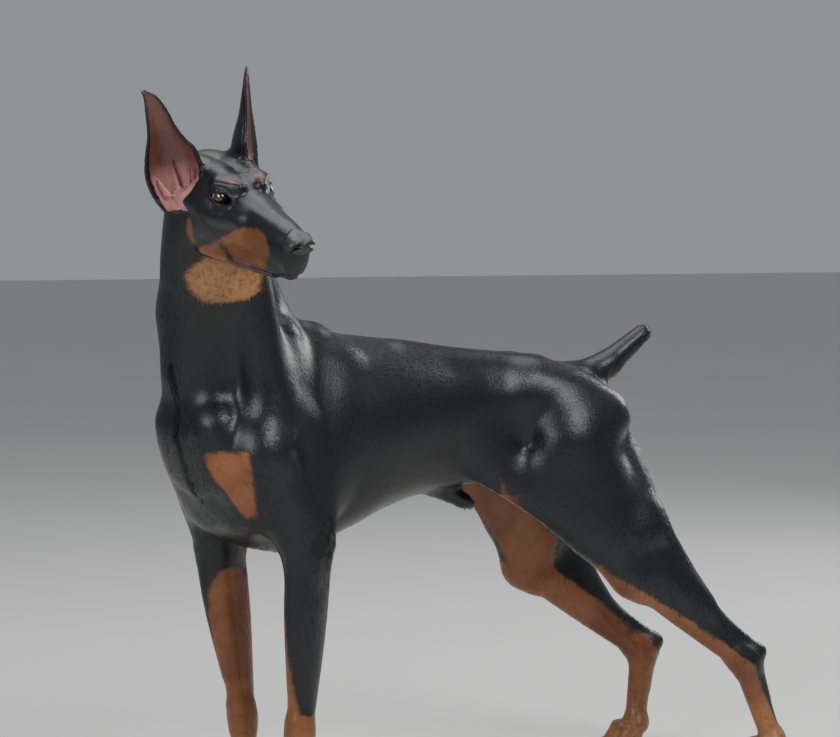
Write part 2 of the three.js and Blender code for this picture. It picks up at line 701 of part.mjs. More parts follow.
const finished = [];
function addNode(name, made, colour, roughness = 0.5) {
  const mesh = largest(made).getMesh();
  const count = mesh.numVert;
  const positions = new Float32Array(count * 3);
  for (let i = 0; i < count; i += 1) {
    const at = i * mesh.numProp;
    const p = bend(V(mesh.vertProperties[at], mesh.vertProperties[at + 1], mesh.vertProperties[at + 2]));
    positions.set([p.x - originShift[0], p.y - originShift[1], p.z], i * 3);
  }
  const bare = new THREE.BufferGeometry();
  bare.setAttribute("position", new THREE.BufferAttribute(positions, 3));
  bare.setIndex(new THREE.BufferAttribute(mesh.triVerts, 1));
  const geometry = withoutSlivers(bare);
  geometry.computeVertexNormals();
  const material = new THREE.MeshStandardMaterial({ color: colour, roughness, metalness: 0 });
  const node = new THREE.Mesh(geometry, material);
  node.name = name;
  finished.push(node);
}

const black = "#14151a";
const rust = "#7a3f1e";

function makeTorso() {
  const loose = 50;
  const [foreL, foreR, hindL, hindR] = [foreCut(1), foreCut(-1), hindCut(1), hindCut(-1)];
  const inside = (p) => {
    let d = everything(p);
    d = Math.max(d, beyond(cut.neck, p) - loose, beyond(cut.tail, p) - loose);
    for (const c of [foreL, foreR]) d = Math.max(d, Math.min(beyond(c, p) - loose, p.x - c.edge + loose));
    for (const c of [hindL, hindR]) d = Math.max(d, Math.min(beyond(c, p) - loose, c.edge + loose - p.x));
    return d;
  };
  const rough = netSolid({ inside, low: [-372, -165, 340], high: [470, 165, 740], cell: [32, 23, 22] });
  let made = rough.subtract(away(cut.neck)).subtract(away(cut.tail));
  for (const c of [foreL, foreR]) made = made.subtract(limbSpace(c, 1));
  for (const c of [hindL, hindR]) made = made.subtract(limbSpace(c, -1));
  const line = [V(-12, 0, 458), V(-72, 0, 428), V(-84, 0, 422)];
  const sheathInside = melt(sheathForms());
  const stations = spreadEvenly(5);
  const sheath = ringSolid({ line, stations, around: 10, inside: sheathInside, domes: [1, 2] });
  made = made.add(solid(sheath));
  addNode("torso", made, black);
}

function makeNeck() {
  const loose = 40;
  const inside = (p) => Math.max(headAndNeck(p), beyond(cut.head, p) - loose, -beyond(cut.neck, p) - loose);
  const rough = netSolid({ inside, low: [180, -160, 520], high: [540, 190, 985], cell: [21, 20, 25] });
  addNode("neck", rough.subtract(away(cut.head)).subtract(near(cut.neck)), black);
}

// The opening between the lids: an almond drawn out along the eye's aim.
function lidOpening(side) {
  const centre = onHead(eyeAt[0], eyeAt[1] * side, eyeAt[2]);
  const aim = alongHead(eyeAim[0], eyeAim[1] * side, eyeAim[2]).normalize();
  const across = alongHead(0, 0, 1).cross(aim).normalize().multiplyScalar(side);
  const up = aim.clone().cross(across).multiplyScalar(side);
  const rings = [2, 34].map((depth) => {
    const wide = 1 + (depth - 11) * 0.022;
    return Array.from({ length: 14 }, (_, i) => {
      const angle = (2 * Math.PI * i) / 14;
      const [c, s] = [Math.cos(angle), Math.sin(angle)];
      const height = s > 0 ? 7.6 : 6.4;
      const y = 13 * c * wide;
      const z = height * s * (1 - 0.25 * Math.abs(c)) * wide + 1.6 * c * wide;
      return centre.clone().addScaledVector(aim, depth).addScaledVector(across, y).addScaledVector(up, z);
    });
  });
  const middle = (ring) => ring.reduce((sum, p) => sum.add(p), V(0, 0, 0)).divideScalar(ring.length);
  return solid(closedRings(rings, middle(rings[0]), middle(rings[1])));
}

function globe(centre, radius, across = 12, down = 8) {
  const sphere = new THREE.SphereGeometry(radius, across, down);
  sphere.applyMatrix4(new THREE.Matrix4().makeRotationZ(-Math.PI / 2));
  sphere.applyMatrix4(new THREE.Matrix4().extractRotation(headMatrix));
  sphere.translate(centre.x, centre.y, centre.z);
  return solid(sphere);
}

function headSolid(swell) {
  const loose = 20;
  const inside = (p) => Math.max(headAndNeck(p) - swell, -beyond(cut.head, p) - loose);
  const cell = [12, 10.5, 10.5];
  return netSolid({ inside, low: [-176, -98, -150], high: [172, 98, 62], cell, frame: headMatrix });
}

// The line of the mouth runs under the lips from corner to corner.
function mouthLine() {
  const half = [[18, 44, -76], [40, 40, -80], [70, 34, -82], [100, 28, -79], [124, 20, -74], [138, 10, -66]];
  const whole = [...half, [143, 0, -62], ...half.map(([x, y, z]) => [x, -y, z]).reverse()];
  const inside = headAndNeck;
  return whole.map(([x, y, z]) => {
    const from = onHead(x - 6, 0, -44);
    return leave(inside, from, onHead(x, y, z).sub(from).normalize());
  });
}

function makeHead() {
  let made = headSolid(0);
  for (const side of [1, -1]) {
    const socket = onHead(eyeAt[0], eyeAt[1] * side, eyeAt[2]);
    made = made.add(globe(socket, eyeRadius + 3));
  }
  for (const side of [1, -1]) {
    const centre = onHead(eyeAt[0], eyeAt[1] * side, eyeAt[2]);
    made = made.subtract(lidOpening(side)).subtract(globe(centre, eyeRadius + gap));
  }
  made = made.subtract(solid(tube(mouthLine(), 1.7, 5, 26)));
  const nose = nosePad();
  const hollow = noseSolid((p) => nose(p) - gap);
  addNode("head", made.subtract(hollow).subtract(near(cut.head)), black);
}

function noseSolid(inside) {
  const line = [onHead(140, 0, -20), onHead(150, 0, -21), onHead(158, 0, -21)];
  const side = alongHead(0, 1, 0);
  return solid(ringSolid({ line, stations: spreadEvenly(3), around: 14, inside, side, domes: [2, 3] }));
}

function makeNose() {
  let made = noseSolid(nosePad());
  for (const side of [1, -1]) {
    const nostril = nostrilLine.map(([x, y, z]) => onHead(x, y * side, z));
    made = made.subtract(solid(tube(nostril, 3.2, 6, 6)));
  }
  addNode("nose", made, "#101012", 0.45);
}

function makeEye(name, side) {
  addNode(name, globe(onHead(eyeAt[0], eyeAt[1] * side, eyeAt[2]), eyeRadius), "#1c0f08", 0.1);
}

function makeEar(name, side, which, skull) {
  const at = ([x, y, z]) => onHead(x, y * side, z);
  const base = at(earBase[which]);
  const axis = at(earTip[which]).sub(base).normalize();
  const [forward, sideways, up] = earFacing[which];
  const facing = alongHead(forward, sideways * side, up);
  const open = facing.addScaledVector(axis, -facing.dot(axis)).normalize();
  const outward = open.clone().cross(axis).multiplyScalar(side);
  if (outward.dot(alongHead(0, side, 0)) < 0) outward.negate();
  const row = throughRows(earRows);
  const across = 8;
  const rings = [];
  for (let r = 0; r < 15; r += 1) {
    const s = mix(earRows[0][0], earRows[earRows.length - 1][0], r / 14);
    const [shift, half, depth, flesh] = row(s);
    const face = (q, sign) => {
      const back = (1 - q * q) ** 0.6;
      const thick = flesh * (0.35 + 0.15 * back);
      const y = shift + half * q - sign * 0.5 * flesh * q * (1 - back);
      return base.clone().addScaledVector(axis, s).addScaledVector(outward, y)
        .addScaledVector(open, sign * thick - back * depth);
    };
    const ring = [];
    for (let i = 0; i <= across; i += 1) ring.push(face(-1 + (2 * i) / across, -1));
    for (let i = across; i >= 0; i -= 1) ring.push(face(-1 + (2 * i) / across, 1));
    rings.push(ring);
  }
  const middle = (ring) => ring.reduce((sum, p) => sum.add(p), V(0, 0, 0)).divideScalar(ring.length);
  const made = solid(closedRings(rings, middle(rings[0]), middle(rings[rings.length - 1])));
  addNode(name, made.subtract(skull), black);
}

function makeTail() {
  const inside = (p) => Math.max(everything(p), -beyond(cut.tail, p) - 12);
  const line = [V(-280, 0, 614), V(-318, 0, 634), V(-374, 0, 677)];
  const rough = ringSolid({ line, stations: spreadEvenly(8), around: 16, inside, domes: [0, 4] });
  addNode("tail", solid(rough).subtract(near(cut.tail)), black);
}

function makeLeg(name, forms, c, way, low, high, cell) {
  const body = melt([...dog.torso, ...forms]);
  const loose = 34;
  const ends = (p) => Math.max(-beyond(c, p) - loose, way * (c.edge - p.x) - loose, ankle - 22 - p.z);
  const inside = (p) => Math.max(body(p), ends(p));
  const rough = netSolid({ inside, low, high, cell });
  const other = halfSpace(c.point, c.normal.clone().negate(), -gap / 2);
  const edge = halfSpace(V(c.edge, 0, 400), V(-way, 0, 0), -gap / 2);
  const foot = halfSpace(V(0, 0, ankle), V(0, 0, -1), -gap / 2);
  addNode(name, rough.subtract(other).subtract(edge).subtract(foot), black);
}

function makeForeleg(name, side, fore) {
  const [wrist, knuckle] = [fore.wrist, fore.knuckle].map((p) => mirrored(p, side));
  const [nearY, farY] = [22 * side, 168 * side].sort((a, b) => a - b);
  const forms = dog.fore[side > 0 ? "left" : "right"];
  makeLeg(name, forms, foreCut(side), 1, [158, nearY, 30], [392, farY, 540], [13, 13, 25]);
  makePaw(name.replace("foreleg", "forepaw"), wrist, knuckle);
}

function makeHindleg(name, side, hind) {
  const [hock, knuckle] = [hind.hock, hind.knuckle].map((p) => mirrored(p, side));
  const [nearY, farY] = [8 * side, 176 * side].sort((a, b) => a - b);
  const forms = dog.hind[side > 0 ? "left" : "right"];
  makeLeg(name, forms, hindCut(side), -1, [-602, nearY, 30], [-14, farY, 560], [19, 16, 22]);
  makePaw(name.replace("hindleg", "hindpaw"), hock, knuckle);
}

// A paw: the end of the leg, four toes with their claws, and pads that rest on the floor.
function makePaw(name, above, knuckle) {
  const shank = muscle(above, knuckle, 20, 19, { flat: 1, soft: 12 });
  const body = melt([shank, ...pawForms(knuckle).slice(0, 2)]);
  const inside = (p) => Math.max(body(p), p.z - ankle - 14);
  const sole = [V(knuckle.x + 6, knuckle.y, 16), V(knuckle.x + 7, knuckle.y, 6)];
  const line = [beside(above, knuckle, 0.85), knuckle, ...sole];
  let made = solid(ringSolid({ line, stations: spreadEvenly(5), around: 12, inside, domes: [1, 1] }));
  for (const toe of toes(knuckle)) {
    const rear = muscle(toe.root, toe.arch, 11.5, 11, { soft: 4 });
    const front = muscle(toe.arch, toe.tip, 11, 9.5, { soft: 4 });
    const toeForm = melt([rear, front]);
    const toeLine = [toe.root, toe.arch, toe.tip];
    const stations = spreadEvenly(4);
    const pad = ringSolid({ line: toeLine, stations, around: 7, inside: toeForm, domes: [0, 1] });
    made = made.add(solid(pad));
    const claw = [toe.tip.clone().add(V(2, 0, 4)), toe.tip.clone().add(V(19, 0, -4))];
    const clawForm = muscle(claw[0], claw[1], 4, 1.2, { belly: 0.6 });
    const horn = (p) => clawForm.distance(p.x, p.y, p.z);
    const nail = ringSolid({ line: claw, stations: spreadEvenly(2), around: 6, inside: horn, domes: [0, 1] });
    made = made.add(solid(nail));
  }
  const leg = halfSpace(V(0, 0, ankle), V(0, 0, 1), -gap / 2);
  addNode(name, made.subtract(leg).subtract(belowFloor()), rust);
}

makeTorso();
makeNeck();
makeHead();
makeNose();
makeEye("eye_left", 1);
makeEye("eye_right", -1);
const skull = headSolid(3 * gap);
makeEar("ear_left", 1, "left", skull);
makeEar("ear_right", -1, "right", skull);
makeTail();
makeForeleg("foreleg_left", 1, leftFore);
makeForeleg("foreleg_right", -1, rightFore);
makeHindleg("hindleg_left", 1, leftHind);
makeHindleg("hindleg_right", -1, rightHind);

const model = new THREE.Group();
model.add(...finished);
export default model;
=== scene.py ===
import math

import bpy
import numpy as np
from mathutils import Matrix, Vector


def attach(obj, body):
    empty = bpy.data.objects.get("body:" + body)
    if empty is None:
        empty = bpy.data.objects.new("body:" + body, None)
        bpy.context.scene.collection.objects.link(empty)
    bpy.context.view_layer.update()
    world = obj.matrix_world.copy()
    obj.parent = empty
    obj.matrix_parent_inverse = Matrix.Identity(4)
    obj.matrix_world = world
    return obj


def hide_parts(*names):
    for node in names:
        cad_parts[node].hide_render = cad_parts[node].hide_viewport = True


# A Doberman pinscher as a still, life-size model. One skin is drawn over the frame's flesh, in
# millimetres, round a dog that stands straight; it is bent to its left at the end, as the frame is.
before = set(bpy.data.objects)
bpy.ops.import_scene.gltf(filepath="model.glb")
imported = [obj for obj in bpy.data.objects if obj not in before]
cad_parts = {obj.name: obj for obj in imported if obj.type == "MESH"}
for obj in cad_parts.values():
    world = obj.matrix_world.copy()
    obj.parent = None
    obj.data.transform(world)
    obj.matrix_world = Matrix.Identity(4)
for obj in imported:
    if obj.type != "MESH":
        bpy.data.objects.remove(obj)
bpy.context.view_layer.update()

body = {
    "bendDegrees": 18.0,
    "bendStart": -80.0,
    "bendEnd": 200.0,
    "originShift": (-27.4, 148.7),
    "coatDepth": 1.0,
    "cell": 8.3,
}

joint = {
    "shoulder": (350, 92, 528),
    "hip": (-222, 84, 520),
    "ischium": (-302, 48, 516),
}
leftFore = {"elbow": (282, 94, 374), "wrist": (288, 86, 118), "knuckle": (296, 85, 42)}
rightFore = {"elbow": (297, 94, 374), "wrist": (264, 82, 118), "knuckle": (264, 76, 42)}
leftHind = {"knee": (-316, 106, 312), "hock": (-508, 108, 166), "knuckle": (-556, 109, 42)}
rightHind = {"knee": (-230, 106, 304), "hock": (-438, 104, 156), "knuckle": (-424, 102, 42)}

# The head's own frame has its origin midway between the eyes, x along the muzzle and z up.
head = {"at": (449, 170, 894), "turn": 83, "nod": 18, "tilt": 8}
eye = {"radius": 12.5, "at": (-6, 33.5, 0), "aim": (0.88, 0.47, 0.04)}


def vec(*values):
    return np.array(values, dtype=float)


def unit(v):
    v = np.asarray(v, dtype=float)
    return v / np.linalg.norm(v)


def turned(axis, degrees):
    c, s = math.cos(math.radians(degrees)), math.sin(math.radians(degrees))
    if axis == "x":
        return np.array([[1, 0, 0], [0, c, -s], [0, s, c]])
    if axis == "y":
        return np.array([[c, 0, s], [0, 1, 0], [-s, 0, c]])
    return np.array([[c, -s, 0], [s, c, 0], [0, 0, 1]])


headTurn = turned("z", head["turn"]) @ turned("y", head["nod"]) @ turned("x", head["tilt"])


def onHead(x, y, z):
    return vec(*head["at"]) + headTurn @ vec(x, y, z)


def alongHead(x, y, z):
    return unit(headTurn @ vec(x, y, z))


# Bends straight points, in millimetres, to the dog's left.
def bend(p):
    start, end = body["bendStart"], body["bendEnd"]
    angle = math.radians(body["bendDegrees"])
    radius = (end - start) / angle
    u = np.clip(p[:, 0], start, end)
    turn = (u - start) / radius
    out = radius - p[:, 1]
    past = p[:, 0] - u
    front = p[:, 0] > end
    x = start + out * np.sin(turn) + past * np.where(front, np.cos(turn), 1)
    y = radius - out * np.cos(turn) + np.where(front, past * np.sin(turn), 0)
    return np.stack([x, y, p[:, 2]], axis=1)


# Straight millimetres to the frame's metres.
def placed(p):
    q = bend(p)
    q[:, 0] -= body["originShift"][0]
    q[:, 1] -= body["originShift"][1]
    return q / 1000


def throughRows(rows):
    rows = np.array(rows, dtype=float)
    x = rows[:, 0]
    before = np.maximum(np.arange(len(x)) - 1, 0)
    after = np.minimum(np.arange(len(x)) + 1, len(x) - 1)
    slope = (rows[after] - rows[before]) / (x[after] - x[before])[:, None]

    def at(u):
        i = np.clip(np.searchsorted(x, u) - 1, 0, len(x) - 2)
        step = (x[i + 1] - x[i])[:, None]
        t = np.clip((u - x[i])[:, None] / step, 0, 1)
        value = (
            (2 * t**3 - 3 * t**2 + 1) * rows[i]
            + (t**3 - 2 * t**2 + t) * step * slope[i]
            + (3 * t**2 - 2 * t**3) * rows[i + 1]
            + (t**3 - t**2) * step * slope[i + 1]
        )
        return value[:, 1:]

    return at


# A muscle, bone or trunk: a distance, how softly it melts into others, and its box.
class Form:
    def __init__(self, distance, soft, low, high):
        self.distance = distance
        self.soft = soft
        self.low = np.asarray(low) - soft - 12
        self.high = np.asarray(high) + soft + 12


def muscle(a, b, radiusA, radiusB, belly=0, flat=1, side=(0, 1, 0), soft=14):
    a, b, side = np.asarray(a, float), np.asarray(b, float), np.asarray(side, float)
    axis = b - a
    length2 = axis @ axis
    across = unit(side - axis * (side @ axis) / length2)
    reach = (max(radiusA, radiusB) + max(belly, 0)) * max(1, flat)

    def distance(p):
        q = p - a
        h = np.clip(q @ axis / length2, 0, 1)
        q = q - h[:, None] * axis
        r = radiusA + (radiusB - radiusA) * h + belly * 4 * h * (1 - h)
        w = r * flat
        s2 = (q @ across) ** 2
        t2 = np.maximum(0, (q * q).sum(axis=1) - s2)
        k0 = np.sqrt(s2 / w**2 + t2 / r**2)
        k1 = np.sqrt(s2 / w**4 + t2 / r**4)
        return np.where(k1 > 1e-9, k0 * (k0 - 1) / np.maximum(k1, 1e-9), -np.minimum(w, r))

    return Form(distance, soft, np.minimum(a, b) - reach, np.maximum(a, b) + reach)


# Rows give, along the frame's x: bottom, widest height, top, half width and side shift.
def trunkForm(rows, origin=(0, 0, 0), axes=np.eye(3), cap=30, power=2, soft=14):
    rows = [list(row) + [0] * (6 - len(row)) for row in rows]
    at = throughRows(rows)
    first, last = rows[0][0], rows[-1][0]
    origin = np.asarray(origin, float)

    def distance(p):
        q = (p - origin) @ axes
        u = np.clip(q[:, 0], first, last)
        bottom, widest, top, half, shift = at(u).T
        y = q[:, 1] - shift
        dz = q[:, 2] - widest
        h = np.where(dz > 0, top - widest, widest - bottom)
        a, b, c = np.abs(y) / half, np.abs(dz) / h, np.abs(q[:, 0] - u) / cap
        rho = (a**power + b**power + c**power) ** (1 / power)
        rho = np.maximum(rho, 1e-6)
        n = power - 1
        g = np.sqrt((a**n / half) ** 2 + (b**n / h) ** 2 + (c**n / cap) ** 2)
        return (rho - 1) / np.maximum(g * rho ** (1 - power), 1e-6)

    wide = max(abs(v) for row in rows for v in row[1:5]) + max(abs(row[5]) for row in rows)
    low = np.array([first - cap, -wide, min(row[1] for row in rows)])
    high = np.array([last + cap, wide, max(row[3] for row in rows)])
    corners = np.array([[x, y, z] for x in (low[0], high[0]) for y in (low[1], high[1]) for z in (low[2], high[2])])
    corners = corners @ axes.T + origin
    return Form(distance, soft, corners.min(axis=0), corners.max(axis=0))


def softMin(a, b, k):
    h = np.maximum(k - np.abs(a - b), 0) / k
    return np.minimum(a, b) - h * h * k / 4


def softMax(a, b, k):
    return -softMin(-a, -b, k)


def beside(a, b, t, front=0, out=0):
    a, b = np.asarray(a, float), np.asarray(b, float)
    along = b - a
    forward = unit(vec(-along[2], 0, along[0]))
    return a + along * t + forward * front + vec(0, out, 0)


def mirrored(p, side):
    return vec(p[0], p[1] * side, p[2])


def torsoForms():
    rows = [
        [-288, 500, 560, 616, 56],
        [-272, 472, 560, 626, 70],
        [-245, 456, 565, 637, 80],
        [-200, 455, 575, 645, 84],
        [-140, 458, 585, 650, 80],
        [-80, 453, 585, 656, 82],
        [-30, 446, 580, 663, 92],
        [30, 437, 572, 675, 106],
        [90, 420, 565, 684, 115],
        [150, 397, 558, 691, 117],
        [210, 380, 552, 702, 110],
        [270, 374, 548, 694, 96],
        [330, 388, 545, 668, 92],
        [375, 420, 545, 640, 82],
        [402, 462, 545, 618, 66],
    ]
    forms = [trunkForm(rows, cap=30, power=2.1)]
    for side in (1, -1):
        def at(x, y, z, side=side):
            return vec(x, y * side, z)
        forms.append(muscle(at(60, 34, 648), at(-170, 32, 622), 26, 28, soft=24))
        forms.append(muscle(at(402, 40, 566), at(345, 62, 446), 40, 34, belly=6, soft=22))
        forms.append(muscle(at(345, 30, 440), at(262, 34, 402), 36, 28, soft=24))
        forms.append(muscle(at(-168, 52, 600), at(-268, 70, 555), 44, 50, belly=6, flat=0.75, soft=26))
    forms.append(muscle(vec(408, 0, 555), vec(366, 0, 470), 22, 26, soft=26))
    forms.append(muscle(vec(-20, 0, 452), vec(-72, 0, 428), 16, 13, soft=16))
    forms.append(muscle(vec(-72, 0, 428), vec(-84, 0, 422), 11, 8, soft=5))
    return forms


def foreForms(side, fore):
    shoulder, elbow = mirrored(joint["shoulder"], side), mirrored(fore["elbow"], side)
    wrist, knuckle = mirrored(fore["wrist"], side), mirrored(fore["knuckle"], side)

    def at(x, y, z):
        return vec(x, y * side, z)

    return [
        muscle(at(230, 40, 676), at(346, 84, 545), 36, 46, belly=8, flat=0.6, soft=26),
        muscle(at(196, 58, 632), at(262, 86, 428), 44, 34, belly=12, flat=0.62, soft=24),
        muscle(shoulder, elbow, 44, 36, belly=2, flat=0.84, soft=22),
        muscle(at(300, 84, 560), at(262, 92, 410), 44, 30, flat=0.66, soft=20),
        muscle(elbow, at(247, 94, 386), 22, 14, flat=0.8, soft=14),
        muscle(at(300, 60, 690), shoulder, 30, 34, belly=8, flat=0.8, soft=30),
        muscle(elbow, wrist, 28, 20, belly=1, flat=0.9, soft=16),
        muscle(beside(elbow, wrist, 0.0, 12, 6 * side), beside(elbow, wrist, 0.72, 6, 3 * side), 26, 17, belly=6, flat=0.78, soft=12),
        muscle(beside(elbow, wrist, 0.02, -20), beside(elbow, wrist, 0.84, -12), 22, 11, belly=5, flat=0.8, soft=12),
        muscle(beside(elbow, wrist, 0.94, 2), beside(wrist, knuckle, 0.2, 2), 22, 21, flat=0.98, soft=10),
        muscle(beside(wrist, knuckle, 0.1, -14), beside(wrist, knuckle, 0.2, -19), 9, 7, soft=8),
        muscle(wrist, knuckle, 19, 19, flat=1.08, soft=12),
    ]


def hindForms(side, hind):
    hip, ischium = mirrored(joint["hip"], side), mirrored(joint["ischium"], side)
    knee, hock, knuckle = (mirrored(hind[name], side) for name in ("knee", "hock", "knuckle"))
    heel = hock + unit(hock - knee) * 26 + vec(-2, 0, 30)
    return [
        muscle(hip, knee, 64, 38, flat=0.66, soft=26),
        muscle(beside(hip, knee, 0.12, 34, -6 * side), beside(hip, knee, 0.96, 10), 46, 30, belly=10, flat=0.6, soft=22),
        muscle(vec(-84, 62 * side, 490), beside(hip, knee, 0.55, 40, 2 * side), 32, 34, flat=0.42, soft=40),
        muscle(ischium, beside(hip, knee, 0.72, -42, 2 * side), 36, 38, belly=4, flat=0.7, soft=24),
        muscle(beside(hip, knee, 0.72, -46), beside(knee, hock, 0.5, -28), 38, 22, flat=0.62, soft=22),
        muscle(beside(hip, knee, 0.1, -20, -34 * side), beside(hip, knee, 0.8, -12, -16 * side), 46, 32, flat=0.6, soft=22),
        muscle(beside(hip, knee, 0.94, 16), beside(knee, hock, 0.1, 12), 22, 20, soft=12),
        muscle(beside(knee, hock, -0.04), beside(knee, hock, 0.9), 26, 19, belly=2, flat=0.84, soft=16),
        muscle(beside(knee, hock, 0.05, -26, 2 * side), beside(knee, hock, 0.72, -20), 30, 13, belly=8, flat=0.72, soft=16),
        muscle(beside(knee, hock, 0.6, -26), heel, 13, 12, flat=0.62, soft=12),
        muscle(hock, heel, 21, 13, flat=0.82, soft=12),
        muscle(beside(knee, hock, 0.93), hock, 24, 24, flat=0.82, soft=12),
        muscle(hock, knuckle, 22, 18, flat=0.88, soft=14),
        muscle(heel + (hock - heel) * 0.3, beside(hock, knuckle, 0.5, -8), 12, 11, flat=0.8, soft=10),
    ]


toeSpread = (-21, -7.5, 7.5, 21)
toeReach = (40, 50, 50, 40)


def toes(knuckle):
    made = []
    for spread, reach in zip(toeSpread, toeReach):
        root = knuckle + vec(2, spread * 0.62, -4)
        arch = knuckle + vec(reach * 0.56, spread * 0.98, -10)
        tip = vec(knuckle[0] + reach, knuckle[1] + spread * 1.04, 8.6)
        made.append((root, arch, tip))
    return made


def pawForms(knuckle):
    forms = [
        muscle(knuckle + vec(-2, 0, -2), knuckle + vec(16, 0, -20), 21, 19, flat=1.2, soft=12),
        muscle(vec(knuckle[0] + 2, knuckle[1], 11), vec(knuckle[0] + 12, knuckle[1], 9), 14, 13, flat=1.4, soft=8),
    ]
    for root, arch, tip in toes(knuckle):
        forms.append(muscle(root, arch, 11.5, 11, soft=4))
        forms.append(muscle(arch, tip, 11, 9.5, soft=4))
    return forms


def tailForms():
    root, mid, tip = vec(-268, 0, 610), vec(-318, 0, 632), vec(-380, 0, 680)
    return [muscle(root, mid, 28, 22, soft=22), muscle(mid, tip, 21.5, 14.5, soft=8)]


def neckForms():
    foot, top = vec(296, 0, 592), vec(436, 66, 905)
    x = unit(top - foot)
    y = unit(vec(0, 1, 0) - x * x[1])
    axes = np.stack([x, y, np.cross(x, y)], axis=1)
    reach = np.linalg.norm(top - foot)
    rows = [
        [0, -104, 0, 96, 78, 0],
        [60, -104, 0, 86, 70, -16],
        [120, -97, 0, 76, 64, -28],
        [190, -91, 0, 69, 60, -34],
        [250, -82, 0, 64, 57, -26],
        [310, -70, 0, 58, 53, -10],
        [reach, -58, 0, 52, 50, 0],
    ]
    forms = [trunkForm(rows, foot, axes, cap=24, power=2, soft=30)]
    for side in (1, -1):
        forms.append(muscle(onHead(-84, 36 * side, -50), vec(398, 24 * side - 6, 600), 20, 26, belly=6, soft=20))
        forms.append(muscle(onHead(-104, 34 * side, 0), vec(340, 82 * side, 600), 20, 30, belly=8, soft=26))
    forms.append(muscle(onHead(-112, 0, 2), vec(256, 0, 672), 26, 30, belly=6, soft=30))
    forms.append(muscle(onHead(-52, 0, -72), vec(420, -4, 640), 22, 24, soft=24))
    forms.append(muscle(vec(378, -6, 560), vec(396, -16, 720), 52, 50, soft=40))
    return forms


def headForms():
    rows = [
        [-112, -44, 0, 19, 36],
        [-96, -66, -2, 24, 46],
        [-70, -88, -8, 29, 54],
        [-45, -96, -12, 30, 56],
        [-20, -96, -16, 28, 52],
        [2, -92, -20, 23, 45],
        [24, -89, -24, 12, 39.5],
        [50, -86, -30, 6, 35],
        [80, -84, -34, 3, 31.5],
        [110, -80, -36, 0, 29],
        [128, -75, -36, -3, 26.5],
        [140, -71, -36, -6, 23],
    ]
    forms = [trunkForm(rows, head["at"], headTurn, cap=12, power=2.3, soft=16)]

    def rod(a, b, ra, rb, **options):
        forms.append(muscle(onHead(*a), onHead(*b), ra, rb, side=alongHead(0, 1, 0), **options))

    rod((132, 0, -68), (60, 0, -72), 11, 13, soft=6)
    for side in (1, -1):
        rod((6, 38 * side, -22), (-66, 54 * side, -20), 9, 11, soft=12)
        rod((-30, 40 * side, -36), (-66, 40 * side, -70), 26, 19, belly=4, flat=0.6, soft=14)
        rod((-20, 24 * side, 15), (-86, 24 * side, 10), 14, 15, belly=4, soft=14)
        rod((14, 17 * side, 16), (-12, 37 * side, 15), 9, 8, soft=9)
        rod((44, 25 * side, -18), (-2, 40 * side, -26), 12, 11, soft=10)
        rod((120, 15 * side, -61), (30, 29 * side, -72), 13, 15, belly=1, flat=0.66, soft=7)
        rod((100, 8 * side, -74), (-46, 32 * side, -88), 10, 14, soft=10)
        forms.append(muscle(onHead(-82, 44 * side, -14), onHead(-80, 34 * side, 16), 20, 18, soft=18))
    return forms


flesh = (
    torsoForms()
    + foreForms(1, leftFore)
    + foreForms(-1, rightFore)
    + hindForms(1, leftHind)
    + hindForms(-1, rightHind)
    + tailForms()
    + neckForms()
    + headForms()
)
knuckles = [
    mirrored(leftFore["knuckle"], 1),
    mirrored(rightFore["knuckle"], -1),
    mirrored(leftHind["knuckle"], 1),
    mirrored(rightHind["knuckle"], -1),
]
for knuckle in knuckles:
    flesh += pawForms(knuckle)
print("forms", len(flesh))


# The distance of points to the melted forms.
def fieldAt(p, forms):
    d = np.full(len(p), 60.0)
    for form in forms:
        near = np.nonzero(np.all((p > form.low) & (p < form.high), axis=1))[0]
        if len(near):
            d[near] = softMin(d[near], form.distance(p[near]), form.soft)
    return d


def eyeFrame(side):
    centre = onHead(eye["at"][0], eye["at"][1] * side, eye["at"][2])
    aim = alongHead(eye["aim"][0], eye["aim"][1] * side, eye["aim"][2])
    across = unit(np.cross(alongHead(0, 0, 1), aim))
    return centre, np.stack([aim, across, np.cross(aim, across)], axis=1)


# Below 0 inside the almond between the lids, in the eye's own frame.
def lidOpening(q, side):
    inner = -side * q[:, 1]
    y = q[:, 1] / 13.2
    z = q[:, 2] - 1.6 * side * q[:, 1] / 13
    height = np.where(z > 0, 7.0, 5.8) * np.sqrt(np.clip(1 - np.abs(y) ** 1.7, 0, 1)) + 0.01
    shape = np.abs(z) - height
    return np.maximum(shape, np.abs(q[:, 1]) - 13.2)


ear = {
    "base": {1: (-70, 50, -6), -1: (-70, -58, -12)},
    "tip": {1: (-85, 46, 148), -1: (-85, -118, 140)},
    "facing": {1: (0.62, 0.77, -0.12), -1: (0.845, -0.515, -0.143)},
    "rows": [
        [-20, 10, 22, 10, 7],
        [0, 6, 32, 22, 6.8],
        [20, 2, 38, 26, 6.5],
        [40, 0, 38, 25, 6.2],
        [60, -3, 34, 21, 6],
        [75, -3, 27, 17, 5.8],
        [94, -5, 19.5, 11, 5.6],
        [123, -7.5, 13.5, 5.5, 5.4],
        [148, -7, 6.5, 1.5, 5.2],
        [158, -2, 2, 0.2, 4.6],
    ],
}
earRow = throughRows(ear["rows"])


# Origin at the ear's base; axes run to its tip, outwards and out of its cup.
def earFrame(side):
    base, tip = onHead(*ear["base"][side]), onHead(*ear["tip"][side])
    axis = unit(tip - base)
    facing = alongHead(*ear["facing"][side])
    out = unit(facing - axis * (facing @ axis))
    across = np.cross(out, axis)
    if across @ alongHead(0, side, 0) < 0:
        across = -across
    return base, np.stack([axis, across, out], axis=1)


